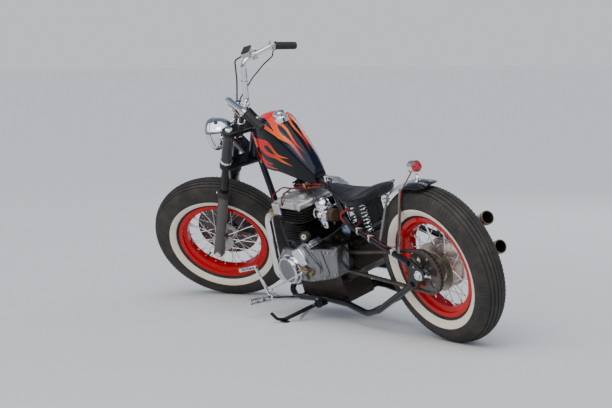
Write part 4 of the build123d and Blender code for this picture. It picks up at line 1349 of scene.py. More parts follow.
@dataclass
class Tank:
    """Fuel tank over the backbone, with a rolled crease, flames and a round cap."""

    # X, half width at the crease, crease Z, top Z, half width below, bottom Z
    rows: tuple = (
        (1046, 72, 872, 930, 66, 752), (1000, 86, 900, 950, 84, 729), (930, 87, 915, 957, 88, 715),
        (880, 80, 877, 935, 84, 710), (800, 66, 789, 850, 68, 682), (740, 50, 722, 770, 48, 656),
        (700, 32, 668, 700, 28, 646))
    tunnel_half: float = 21.0
    top_slope: float = 0.3
    cap_foot: tuple = (886, 0, 912)
    cap_top: tuple = (892, 0, 958)
    backbone_start: tuple = (625.0, 616.0)
    backbone_slope: float = 0.3902

    def section(self, row: Sequence[float]) -> list[Vector]:
        """Corners of one section."""
        x, wide, crease, top, narrow, bottom = row
        middle, reach = circle_through((wide, crease), (0.0, top), (-wide, crease))
        start = degrees(atan2(crease - middle[1], wide))
        crown = arc(middle, reach, start, 180 - start, 14)
        roof = self.backbone_start[1] + (x - self.backbone_start[0]) * self.backbone_slope + 22
        roof = min(roof, top - 8)
        narrow = max(narrow, self.tunnel_half + 5)
        left = [(-wide, crease), (-narrow * 0.98, (crease + bottom) / 2), (-narrow, bottom)]
        under = [(-self.tunnel_half, bottom), (-self.tunnel_half, roof), (self.tunnel_half, roof),
                 (self.tunnel_half, bottom)]
        right = [(narrow, bottom), (narrow * 0.98, (crease + bottom) / 2)]
        return [Vector((x, y, z)) for y, z in crown + left[1:] + under + right]

    def build(self) -> None:
        """Builds the tank and its cap."""
        skin = Bench.loft([self.section(row) for row in between_rows(self.rows, 3)])
        Bench.bevel(skin, 3.5, 3, 34.0)
        # Faces that point upwards take the top finish, with its top flames and a navy base that paints the sky
        # reflection; the others take the black side finish.
        faces = {}
        for face in skin.data.polygons:
            faces[tuple(face.center)] = 1 if face.normal.z > self.top_slope else 0
        Bench.paint(skin, Finishes.FLAME_SIDE, Finishes.FLAME_TOP_SHEEN, choose=lambda middle: faces[tuple(middle)])
        Bench.fit(skin, "tank_skin", "flame_paint", ["fuel_tank"], 40)
        self.make_cap()

    def make_cap(self) -> None:
        """Makes the filler cap with its neck ring and grip."""
        foot, top = Vector(self.cap_foot), Vector(self.cap_top)
        axis = (top - foot).normalized()
        cap = Bench.lathe(
            [(0, 54), (9, 54), (15, 52.5), (24, 48), (29.5, 43), (31, 38), (31, 33), (28, 31), (28, 26), (33, 24),
            (36, 20), (36, 0), (0, 0)], foot, axis, 48)
        hollow = Bench.rod(top + axis * 5, top + axis * 14, 8.5, sides=24)
        Bench.cut(cap, hollow)
        grip = Bench.rod(top + axis * 3, top + axis * 8, 5.0, 1.4, 16)
        Bench.fit([cap, grip], "filler_cap", "chrome", ["fuel_cap"], 30)


@dataclass
class Saddle:
    """Solo saddle of black leather with a rolled edge."""

    # X, half width at the edge, edge Z, top Z, half width below, bottom Z
    rows: tuple = (
        (650, 12, 640, 650, 10, 634), (600, 38, 626, 640, 34, 606), (520, 64, 612, 626, 60, 596),
        (440, 98, 606, 622, 92, 588), (372, 123, 624, 638, 118, 586), (334, 117, 635, 652, 113, 592),
        (312, 84, 630, 645, 80, 604))
    spare: float = 4.5

    def section(self, row: Sequence[float]) -> list[Vector]:
        """Corners of one section, with room left for the padding to swell."""
        x, wide, edge, top, narrow, bottom = row
        wide, narrow, top = wide - self.spare, narrow - self.spare, top - self.spare * 0.8
        middle, reach = circle_through((wide, edge), (0.0, top), (-wide, edge))
        start = degrees(atan2(edge - middle[1], wide))
        crown = arc(middle, reach, start, 180 - start, 10)
        under = [(-narrow, bottom), (-narrow * 0.5, bottom + 3), (0, bottom + 4), (narrow * 0.5, bottom + 3),
                 (narrow, bottom)]
        return [Vector((x, y, z)) for y, z in crown + under]

    def build(self) -> None:
        """Builds the saddle."""
        rows = between_rows(self.rows, 2)
        pad = Bench.soften(Bench.loft([self.section(row) for row in rows]), 1)
        Bench.swell(pad)
        Bench.fit(pad, "saddle_pad", "leather", ["seat"], 60)
        rim = [(x, wide - 2.2, edge) for x, wide, edge, *_ in rows[:-1]]
        piping = Bench.tube(rim + [(x, -y, z) for x, y, z in reversed(rim)], 2.4, 8)
        Bench.fit(piping, "saddle_piping", "leather")


@dataclass
class Engine:
    """Air-cooled parallel twin: finned barrels and head, cam cover, side covers, carburettors and small parts."""

    half_width: float = 145.0
    front: float = 900.0
    rear: float = 730.0
    case_top: float = 402.0
    head_base: float = 500.0
    cover_base: float = 562.0
    fin_pitch: float = 11.0
    carb_gap: float = 60.0
    carb_height: float = 524.0
    carb_x: float = 648.0
    cover_face: float = 176.0
    alternator: tuple = (845.0, 291.0)
    alternator_radius: float = 64.0

    def fins(self, low: float, high: float, front: float, rear: float, corner: float) -> Piece:
        """Makes a stack of thin fins between two heights."""
        first = Bench.plate(
            round_rectangle(front - rear, 2 * self.half_width, corner), ((front + rear) / 2, 0, low), (1, 0, 0),
            (0, 1, 0), 2.6, 0.7, 1)
        count = int((high - low) / self.fin_pitch) + 1
        lift = [Matrix.Translation((0, 0, self.fin_pitch * number)) for number in range(1, count)]
        return Bench.join([first, *[Bench.copy(first, change) for change in lift]])

    def make_barrels(self) -> None:
        """Makes the two finned barrels with their base flange."""
        parts = [self.fins(self.case_top + 16, self.head_base - 8, self.front, self.rear, 26.0)]
        for hand in (1, -1):
            parts.append(
                Bench.lathe([(0, 98), (62, 98), (62, 90), (57, 88), (57, 8), (66, 6), (66, 0), (0, 0)],
                ((self.front + self.rear) / 2, hand * 76, self.case_top), (0, 0, 1), 40))
        parts.append(
            Bench.block((self.rear + 12, -self.half_width + 8, self.case_top),
            (self.front - 12, self.half_width - 8, self.case_top + 9), 3))
        parts.append(Bench.block((self.rear + 50, -30, self.case_top + 4), (self.front - 50, 30, self.head_base), 4))
        Bench.fit(parts, "finned_barrels", "black_alloy", ["cylinders"])

    def make_head(self) -> None:
        """Makes the finned head with ports, studs and nuts."""
        rear, front = self.rear - 22, self.front + 12
        parts = [
            self.fins(self.head_base + 4, self.cover_base - 10, front, rear, 22.0),
            Bench.block((rear + 18, -self.half_width + 18, self.head_base),
            (front - 20, self.half_width - 18, self.cover_base), 4)]
        for hand in (1, -1):
            parts.append(Bench.rod((front - 30, hand * 80, 530), (front + 6, hand * 80, 530), 31, 3, 32))
            parts.append(
                Bench.rod((rear + 24, hand * self.carb_gap, self.carb_height),
                (rear - 6, hand * self.carb_gap, self.carb_height), 27, 3, 32))
        Bench.fit(parts, "finned_head", "black_alloy", ["cylinder_head"])
        nuts = []
        for x in (self.rear + 6, self.front - 10):
            for y in (-128, -76, -24, 24, 76, 128):
                nuts.append(Bench.rod((x, y, self.cover_base - 8), (x, y, self.cover_base + 6), 7.5, 1.5, 6))
                nuts.append(Bench.lathe([(0, 11), (3.5, 10), (6, 7), (6.8, 3), (6.8, 0), (0, 0)],
                                        (x, y, self.cover_base + 5), (0, 0, 1), 12))
        Bench.fit(nuts, "head_nuts", "chrome")
        for hand, side in ((1, "left"), (-1, "right")):
            start, end = Vector((872, hand * 112, 534)), Vector((886, hand * 118, 551))
            run = (end - start).normalized()
            Bench.fit(
                [Bench.rod(start - run * 4, start + run * 8, 9.5, 0.8, 6),
                Bench.rod(start + run * 6, start + run * 12, 7.5, 0.6, 16)], f"{side}_plug", "chrome")
            Bench.fit(
                Bench.lathe([(0, 30), (4.5, 30), (5.5, 27), (8, 25), (9, 20), (9, 6), (8, 0), (0, 0)], start + run * 8,
                run, 20), f"{side}_plug_cap", "rubber")

    def make_cam_cover(self) -> None:
        """Makes the polished cover on the head, with its end plates, caps and screws."""
        profile = [(712, 562), (908, 562), (914, 584), (906, 592), (880, 597), (858, 611), (836, 613), (786, 613),
                   (764, 611), (740, 597), (714, 592), (706, 584)]
        half = self.half_width - 4
        parts = [Bench.panel(profile, -half, 2 * half, 5.0, 3)]
        for y in (-62, 62):
            parts.append(Bench.panel([(x, z + 2.2) for x, z in profile], y - 9, 18, 2.0))
        for x in (752, 868):
            for y in (-84, 84):
                parts.append(
                    Bench.lathe([(0, 18), (14, 17), (20, 14), (22, 9), (22, 0), (0, 0)], (x, y, 600),
                    (0.12 if x > 800 else -0.12, 0, 1), 28))
        for hand in (1, -1):
            inner = hand * half
            parts.append(
                Bench.panel([(858, 532), (914, 534), (916, 582), (902, 588), (862, 584)], inner - hand * 2, hand * 9,
                2.5))
            parts.append(Bench.panel([(742, 566), (838, 566), (838, 600), (770, 604), (742, 592)], inner, hand * 5, 2))
        Bench.fit(parts, "cam_cover", "alloy", ["rocker_cover"])
        screws = []
        for hand in (1, -1):
            for x, z in (
                    (866, 541), (906, 541), (906, 577), (868, 577), (750, 573), (830, 573), (830, 594), (756, 592)):
                base = hand * (half + 6)
                screws.append(Bench.pin(x, z, base - hand * 4, base + hand * 3, 4.2, 0.8, 12))
        Bench.fit(screws, "cam_cover_screws", "chrome")

    def make_left_cover(self) -> None:
        """Makes the polished left cover, the alternator cover and the gearbox cover."""
        face = self.cover_face
        main = [(920, 240), (935, 330), (880, 385), (802, 388), (773, 395), (706, 430), (690, 430), (664, 404),
                (612, 407), (612, 262), (735, 240)]
        rear = [(662, 404), (470, 421), (506, 289), (600, 264), (735, 244)]
        parts = [Bench.panel(main, 92, face - 92, 7.0, 3), Bench.panel(rear, 100, face - 103, 6.0, 3)]
        # Raised lands and the seam rib of the gearbox cover
        parts.append(Bench.panel([(604, 402), (580, 404), (560, 300), (590, 276)], face - 4, 5, 1.5))
        parts.append(Bench.panel([(668, 398), (708, 420), (724, 404), (700, 366), (676, 372)], face - 2, 5, 2.0))
        parts.append(Bench.pin(744, 262, face - 6, face + 10, 15, 2.0, 28))
        parts.append(Bench.pin(640, 318, face - 6, face + 5, 26, 2.0, 36))
        cover = Bench.join(parts)
        Bench.fit(cover, "gear_cover", "alloy", ["left_cover"], finish=Finishes.SATIN)
        x, z = self.alternator
        r = self.alternator_radius
        drum = Bench.lathe(
            [(0, 24.5), (r - 14, 24.5), (r - 9, 26), (r - 3.5, 25.5), (r - 0.5, 22), (r, 17), (r, 4), (r + 5, 3),
            (r + 5, -3), (0, -3)], (x, face, z), LEFT, 72)
        Bench.paint(drum, Finishes.SATIN, Finishes.CHROME,
                    choose=lambda middle: 1 if sqrt((middle.x - x) ** 2 + (middle.z - z) ** 2) > r - 9 else 0)
        Bench.fit(drum, "alternator_cover", "alloy", smooth=30)
        wedge = Bench.panel(
            [(790, 388), (742, 402), (716, 372), (700, 330), (742, 316), (792, 330), (812, 356)], face - 4, 15, 6.0, 3)
        Bench.fit(wedge, "cover_wedge", "chrome")
        screws = []
        for sx, sz in ((918, 262), (926, 330), (868, 372), (692, 420), (660, 392), (528, 400), (486, 400), (514, 300),
                       (600, 276), (690, 256), (640, 392), (560, 396)):
            screws.append(Bench.pin(sx, sz, face - 4, face + 4.5, 5.2, 1.0, 16))
            screws.append(Bench.pin(sx, sz, face + 3, face + 5.2, 3.0, 0.4, 6))
        for turn in (20, 140, 260):
            sx, sz = x + (r - 6) * cos(radians(turn)), z + (r - 6) * sin(radians(turn))
            screws.append(Bench.pin(sx, sz, face + 20, face + 27, 3.6, 0.8, 12))
        Bench.fit(screws, "cover_screws", "steel")
        # Clutch arm, shift shaft and the bolts under the wedge
        arm = [
            Bench.pin(714, 296, face - 4, face + 22, 8, 1.5, 20),
            Bench.plate(round_rectangle(46, 15, 6), (728, face + 12, 300), (1, 0, 0.35), (-0.35, 0, 1), -5, 1.2),
            Bench.pin(748, 307, face + 6, face + 20, 5.5, 1, 6), Bench.pin(690, 282, face - 2, face + 14, 7.5, 1.2, 6),
            Bench.pin(676, 300, face - 2, face + 11, 6, 1.2, 6)]
        Bench.fit(arm, "clutch_arm", "steel", finish=Finishes.BRONZE)

    def make_right_cover(self) -> None:
        """Makes the right side cover with its filler cap and screws."""
        wall = -self.half_width + 5
        outline = arc((655, 338), 80, 78, 282, 18) + arc((848, 310), 58, 285, 435, 14)
        parts = [
            Bench.panel(outline, wall, -22, 7.0, 3), Bench.panel(arc((655, 338), 52, 0, 350, 28), wall - 20, -5, 2.0)]
        Bench.fit(parts, "clutch_cover", "alloy", ["right_cover"])
        bits = [Bench.pin(848, 330, wall - 18, wall - 30, 16, 2.5, 12)]
        for x, z in ((655, 408), (590, 372), (586, 306), (640, 268), (740, 262), (840, 262), (894, 296), (888, 344),
                     (820, 366), (740, 392)):
            bits.append(Bench.pin(x, z, wall - 16, wall - 25, 4.6, 1.0, 12))
        Bench.fit(bits, "clutch_cover_screws", "steel")

    def make_carburettors(self) -> None:
        """Makes the two carburettors with domes, bowls and linkage."""
        x, z = self.carb_x, self.carb_height
        bodies, brass, filters = [], [], []
        for y in (self.carb_gap, -self.carb_gap):
            bodies.append(
                Bench.lathe([(15, 0), (24, 0), (24, 8), (20, 10), (20, 34), (23, 40), (23, 92), (26, 94), (26, 104),
                (15, 104)], (606, y, z), (1, 0, 0), 36, True))
            bodies.append(Bench.block((x - 26, y - 26, z - 24), (x + 26, y + 26, z + 32), 7, 3))
            bodies.append(Bench.block((x - 27, y - 24, z - 62), (x + 25, y + 24, z - 20), 8, 3))
            bodies.append(Bench.block((x - 30, y - 28, z - 24), (x + 28, y + 28, z - 18), 2))
            bodies.append(
                Bench.lathe([(0, 42), (8, 42), (10, 39), (20, 36), (29, 28), (33, 18), (33, 8), (36, 6), (36, 0),
                (0, 0)], (x, y, z + 30), (0, 0, 1), 40))
            brass.append(Bench.rod((x, y, z - 68), (x, y, z - 58), 7, 1.5, 6))
            for corner_x in (-22, 20):
                for corner_y in (-20, 20):
                    brass.append(Bench.rod((x + corner_x, y + corner_y, z - 17), (x + corner_x, y + corner_y, z - 13),
                                           3.4, 0.8, 10))
            for turn in (45, 135, 225, 315):
                cx, cy = x + 31 * cos(radians(turn)), y + 31 * sin(radians(turn))
                brass.append(Bench.rod((cx, cy, z + 34), (cx, cy, z + 40), 3.2, 0.8, 10))
            filters.append(
                Bench.lathe([(0, 0), (24, 0), (27, 1.5), (29, 5), (29, 37), (27, 41), (0, 42)], (606, y, z), (-1, 0, 0),
                40))
        bodies.append(Bench.pin(x - 8, z + 20, -self.carb_gap, self.carb_gap, 5, 1, 16))
        bodies.append(Bench.lathe([(0, 16), (9, 15), (14, 11), (16, 5), (16, 0), (0, 0)], (x - 2, 86, z + 4), LEFT, 28))
        Bench.fit(bodies, "carburettor_bodies", "chrome", ["carburettors"], finish=Finishes.STAINED_CHROME)
        Bench.fit(brass, "carburettor_screws", "steel", finish=Finishes.BRASS)
        Bench.fit(filters, "filter_gauze", "mesh", ["air_filters"])

    def make_case_details(self) -> None:
        """Makes the starter motor, oil filter, sump fins, drain plug and bolts of the crankcase."""
        dark = [
            Bench.lathe([(0, -70), (29, -70), (33, -64), (33, -8), (30, -5), (30, 50), (33, 53), (33, 62), (0, 62)],
            (518, 0, 462), LEFT, 40), Bench.block((492, -44, 412), (544, 34, 442), 4),
            Bench.lathe([(0, -20), (24, -20), (25, -16), (25, 52), (21, 60), (8, 63), (0, 63)], (468, 0, 398), LEFT,
            32)]
        Bench.fit(dark, "starter_and_filter", "black_alloy")
        dome = Bench.lathe([(0, 14), (10, 13), (20, 9), (27, 2), (29, -4), (0, -4)], (518, 62, 462), LEFT, 36)
        Bench.fit(dome, "starter_dome", "steel", finish=Finishes.BLUE_STEEL)
        fins = [Bench.block((632, -73, z), (968, 73, z + 3.5), 1) for z in (112, 122, 132, 142)]
        fins += [Bench.lathe([(44, -2), (52, -2), (52, 3), (49, 4.5), (44, 4.5)], (552, 66, 322), LEFT, 48, True),
                 Bench.rod((800, 0, 106), (800, 0, 98), 12, 2, 6)]
        for x, z in ((500, 398), (560, 410), (600, 418), (486, 300), (520, 262), (590, 224), (484, 350)):
            fins.append(Bench.pin(x, z, 60, 70, 9, 1.5, 20))
            fins.append(Bench.pin(x, z, 69, 74, 6, 1.2, 6))
        Bench.fit(fins, "case_fins_and_bolts", "brown_alloy")

    def make_switch(self) -> None:
        """Makes the key switch with its pale ring, and its bracket."""
        foot, face = Vector((700, 150, 450)), Vector((688, 174, 456))
        axis = (face - foot).normalized()
        body = [Bench.lathe([(0, 20), (9, 20), (9, 22), (15, 27), (20, 26), (22, 22), (22, 0), (0, 0)], foot, axis, 36),
                Bench.tube([(706, 152, 446), (724, 146, 442), (744, 136, 440)], 6, 12)]
        Bench.fit(body, "switch_body", "plastic", ["ignition_switch"])
        ring = Bench.lathe([(4.5, 24), (8, 27.5), (11.5, 25.5), (12, 20), (4.5, 20)], foot, axis, 32, True)
        Bench.fit(ring, "switch_ring", "plastic", finish=Finishes.CREAM)

    def build(self) -> None:
        """Builds the engine's pieces."""
        self.make_barrels()
        self.make_head()
        self.make_cam_cover()
        self.make_left_cover()
        self.make_right_cover()
        self.make_carburettors()
        self.make_case_details()
        self.make_switch()


@dataclass
class Chain:
    """Roller chain round both sprockets, and the toothed rear sprocket."""

    rear: tuple = (0.0, 338.0)
    front: tuple = (552.0, 322.0)
    rear_radius: float = 92.0
    front_radius: float = 40.0
    line: float = 84.0
    pitch: float = 15.875
    plate: float = 6.8
    teeth: int = 36

    def pins(self) -> list[Vector]:
        """Places of the chain's pins, as X and Z, evenly along its loop."""
        gap = Vector(self.front) - Vector(self.rear)
        lean = degrees(atan2(gap.y, gap.x))
        swing = degrees(acos((self.rear_radius - self.front_radius) / gap.length))
        loop = [Vector(corner) for corner in arc(self.front, self.front_radius, lean + swing, lean - swing, 30)
                + arc(self.rear, self.rear_radius, lean - swing, lean + swing - 360, 60)]
        loop.append(loop[0])
        steps = [(end - start).length for start, end in zip(loop, loop[1:])]
        count = 2 * round(sum(steps) / self.pitch / 2)
        places, corner, passed = [], 0, 0.0
        for number in range(count):
            travel = sum(steps) * number / count
            while passed + steps[corner] < travel:
                passed += steps[corner]
                corner += 1
            places.append(loop[corner].lerp(loop[corner + 1], (travel - passed) / steps[corner]))
        return places

    def link(self, inside: float, pin: float, reach: float) -> Piece:
        """Makes one link: two plates and the rollers or pins through them."""
        waist = 0.72 * self.plate
        outline = (arc((self.pitch, 0), self.plate, -65, 65, 4) + [(self.pitch / 2, waist)]
                   + arc((0, 0), self.plate, 115, 245, 4) + [(self.pitch / 2, -waist)])
        return Bench.join(
            [Bench.panel(outline, inside, 1.9), Bench.panel(outline, -inside - 1.9, 1.9),
            Bench.pin(0, 0, -reach, reach, pin, sides=8), Bench.pin(self.pitch, 0, -reach, reach, pin, sides=8)])

    def build(self) -> None:
        """Builds chain and sprocket."""
        places = self.pins()
        kinds = [self.link(3.6, 5.0, 3.6), self.link(5.7, 2.6, 9.4)]
        links = []
        for number, start in enumerate(places):
            run = places[(number + 1) % len(places)] - start
            links.append(
                Bench.copy(kinds[number % 2], Matrix.Translation((start.x, self.line, start.y))
                @ Matrix.Rotation(-atan2(run.y, run.x), 4, "Y")))
        for kind in kinds:
            bpy.data.objects.remove(kind)
        Bench.fit(links, "roller_chain", "chain", ["drive_chain"])
        outline = []
        for tooth in range(self.teeth):
            for share, radius in ((0.0, 86.0), (0.28, 86.0), (0.46, 95.5), (0.82, 95.5)):
                angle = 2 * pi * (tooth + share) / self.teeth
                outline.append((radius * cos(angle), radius * sin(angle)))
        wheel = Bench.plate(outline, REAR_AXLE + LEFT * (self.line - 3.0), (1, 0, 0), (0, 0, 1), -6.0)
        Bench.cut(
            wheel, Bench.ring(Bench.rod(REAR_AXLE + Vector((58, 60, 0)), REAR_AXLE + Vector((58, 110, 0)), 14,
            sides=28), 6, REAR_AXLE))
        carrier = Bench.lathe(
            [(9.5, 34.4), (44, 34.4), (44, 40), (38, 44), (38, 80), (36, 88), (30, 90), (9.5, 90)], REAR_AXLE, steps=48,
            closed=True)
        bolts = Bench.ring(
            Bench.rod(REAR_AXLE + Vector((27, 86, 0)), REAR_AXLE + Vector((27, 96, 0)), 5.5, 1.0, 6), 6, REAR_AXLE)
        Bench.fit(
            [wheel, carrier, bolts], "toothed_sprocket", "steel", ["rear_sprocket"], finish=Finishes.DARK_STEEL,
            body=Body.REAR_WHEEL)


@dataclass
class Axles:
    """Drilled front disc, rear brake plate, axle nuts and chain adjusters."""

    rear_outside: float = 122.0

    def make_disc(self) -> None:
        """Makes the drilled front disc on its carrier."""
        ring = Bench.lathe(
            [(94, -64), (148, -64), (149, -63), (149, -60), (148, -59), (94, -59)], FRONT_AXLE, steps=96, closed=True)
        drills = [
            Bench.ring(Bench.rod(FRONT_AXLE + Vector((radius * cos(turn), -80, radius * sin(turn))),
            FRONT_AXLE + Vector((radius * cos(turn), -50, radius * sin(turn))), 3.4, sides=10), 20, FRONT_AXLE)
            for radius, turn in ((106, 0.0), (121, 0.105), (136, 0.21))]
        Bench.cut(ring, Bench.join(drills))
        carrier = Bench.lathe(
            [(42, -38.5), (58, -38.5), (60, -54), (72, -57), (98, -58), (98, -62), (60, -65), (42, -65)], FRONT_AXLE,
            steps=64, closed=True)
        bolts = Bench.ring(
            Bench.rod(FRONT_AXLE + Vector((52, -62, 0)), FRONT_AXLE + Vector((52, -70, 0)), 5.5, 1, 6), 6, FRONT_AXLE)
        Bench.fit(
            [ring, carrier, bolts], "drilled_disc", "steel", ["front_disc"], finish=Finishes.DARK_STEEL,
            body=Body.FRONT_WHEEL)

    def make_brake_plate(self) -> None:
        """Makes the plate that closes the rear drum on the right, with its arm and rod."""
        plate = Bench.lathe(
            [(15.5, -46), (30, -47), (34, -43), (70, -43), (74, -47), (92, -44), (97, -40), (97, -37), (15.5, -37)],
            REAR_AXLE, steps=64, closed=True)
        Bench.fit(plate, "brake_plate", "brown_alloy")
        arm = [
            Bench.pin(48, 296, -42, -92, 8, 1, 20), Bench.plate(round_rectangle(16, 66, 7), (48, -84, 274), (1, 0, 0),
            (0, 0, 1), 6, 1.5), Bench.rod((48, -87, 250), (424, -87, 126), 3.4, 0.5, 12),
            Bench.rod((424, -87, 112), (424, -87, 134), 7, 1.0, 12), Bench.pin(48, 250, -80, -94, 6, 1, 12)]
        Bench.fit(arm, "brake_arm", "chrome", finish=Finishes.STAINED_CHROME)

    def make_nuts(self) -> None:
        """Makes the axle's washers and nuts, and the chain adjusters."""
        parts = []
        for hand in (1, -1):
            out = LEFT * hand
            face = REAR_AXLE + out * self.rear_outside
            parts.append(
                Bench.lathe([(9.3, 0.5), (21, 0.5), (22, 1.2), (22, 3.0), (21, 3.6), (9.3, 3.6)], face, out, 36, True))
            parts.append(Bench.rod(face + out * 2.4, face + out * 15.5, 16.4, 2.2, 6))
            parts.append(Bench.lathe([(0, 19), (4, 19), (8.4, 17), (9.6, 14), (9.6, 2), (0, 2)], face, out, 24))
            start = Vector((-30, hand * 118, 338))
            parts += [Bench.rod(start, start - Vector((36, 0, 0)), 4.2, 0.8, 14),
                      Bench.rod(start - Vector((8, 0, 0)), start - Vector((15, 0, 0)), 8.0, 1.2, 6),
                      Bench.rod(start - Vector((36, 0, 0)), start - Vector((42, 0, 0)), 7.0, 1.2, 6)]
        Bench.fit(parts, "rear_axle_nuts", "chrome")
        bosses = []
        for x, z in ((70, 392), (72, 282), (20, 372)):
            for hand in (1, -1):
                bosses.append(Bench.pin(x, z, hand * 120, hand * 127, 6.0, 1.2, 6))
        Bench.fit(bosses, "axle_plate_bolts", "steel")

    def build(self) -> None:
        """Builds all of it."""
        self.make_disc()
        self.make_brake_plate()
        self.make_nuts()


@dataclass
class Tail:
    """Rear fender with two raised ribs, tail light on its stalk, and ties on the wire."""

    half: float = 55.0
    crown: float = 360.0
    edge: float = 345.0
    metal: float = 3.0
    start: float = 34.0
    end: float = -11.6
    tail_centre: float = -20.0
    rib_at: float = 17.0
    rib_width: float = 4.2
    rib_height: float = 4.0
    lamp: tuple = (4.0, 0.0, 757.0)

    def section(self, angle: float) -> list[Vector]:
        """Corners of the fender's section at an angle ahead of the top, in degrees."""
        turn = radians(angle)
        out = Vector((sin(turn), 0, cos(turn)))
        beyond = self.tail_centre - self.crown * sin(turn)
        wide = sqrt(max(self.half ** 2 - max(beyond, 0.0) ** 2, 9.0))
        middle, reach = circle_through((-self.half, self.edge), (0.0, self.crown), (self.half, self.edge))
        across = [-wide + 2 * wide * number / 40 for number in range(41)]
        top = []
        for y in across:
            rib = self.rib_height * exp(-((abs(y) - self.rib_at) / self.rib_width) ** 4)
            top.append((y, middle[1] + sqrt(reach ** 2 - y * y) + rib - self.rib_height * 0.3))
        below = [(y, middle[1] + sqrt(reach ** 2 - y * y) - self.metal) for y in reversed(across[::4])]
        return [REAR_AXLE + LEFT * y + out * radius for y, radius in top + below]

    def make_fender(self) -> None:
        """Makes the fender."""
        angles = [self.start + (self.end - self.start) * (1 - (1 - number / 26) ** 1.4) for number in range(27)]
        fender = Bench.loft([self.section(angle) for angle in angles])

        def band(face: Vector) -> int:
            """Which finish a face of the fender takes."""
            between = abs(abs(face.y) - self.rib_at) > self.rib_width + 1
            return 1 if face.x < -62 or (between and face.x < 60) else 0

        Bench.paint(fender, Finishes.CHROME, Finishes.BLACK_PAINT, choose=band)
        Bench.fit(fender, "ribbed_fender", "chrome", ["rear_fender"], 50)

    def make_lamp(self) -> None:
        """Makes the tail light and its stalk."""
        back = Vector((-1, 0, 0))
        shell = Bench.lathe(
            [(0, -58), (5, -57), (9, -52), (20, -34), (24.5, -30), (24.5, -6), (26, -5), (26, 0.6), (23, 1), (0, 1)],
            self.lamp, back, 40)
        stalk = [Bench.tube([(20, 0, 700), (18, 0, 712), (13, 0, 726), (12, 0, 738)], 6.2, 12),
                 Bench.lathe([(0, 4), (12, 4), (15, 2), (15, -3), (0, -3)], (20, 0, 701), (0, 0, 1), 28)]
        Bench.fit([shell, *stalk], "tail_lamp_shell", "chrome", ["tail_light"])
        lens = Bench.lathe(
            [(0, 21.6), (7, 21), (8, 19.4), (12, 19.2), (13, 17), (16.5, 15.5), (17.4, 12.8), (20, 11), (21, 7),
            (21, 0.4), (0, 0.4)], self.lamp, back, 40)
        Bench.fit(lens, "tail_lamp_lens", "red_lens", ["tail_lens"])

    def make_ties(self) -> None:
        """Makes the ties that hold the wire to the rail."""
        ties = []
        for x in (150, 300, 380):
            y, z = 118 - (x - 48) * 33 / 404, 384 + (x - 48) * 116 / 404
            ties.append(
                Bench.lathe([(14.3, -2.6), (15.8, -2.2), (15.8, 2.2), (14.3, 2.6)], (x, y, z), (404, -33, 116), 32,
                True))
            ties.append(Bench.block((x - 3, y + 2, z + 13), (x + 3, y + 14, z + 19.5), 1.2))
        Bench.fit(ties, "wire_ties", "steel", finish=Finishes.CERAMIC)

    def build(self) -> None:
        """Builds all of it."""
        self.make_fender()
        self.make_lamp()
        self.make_ties()


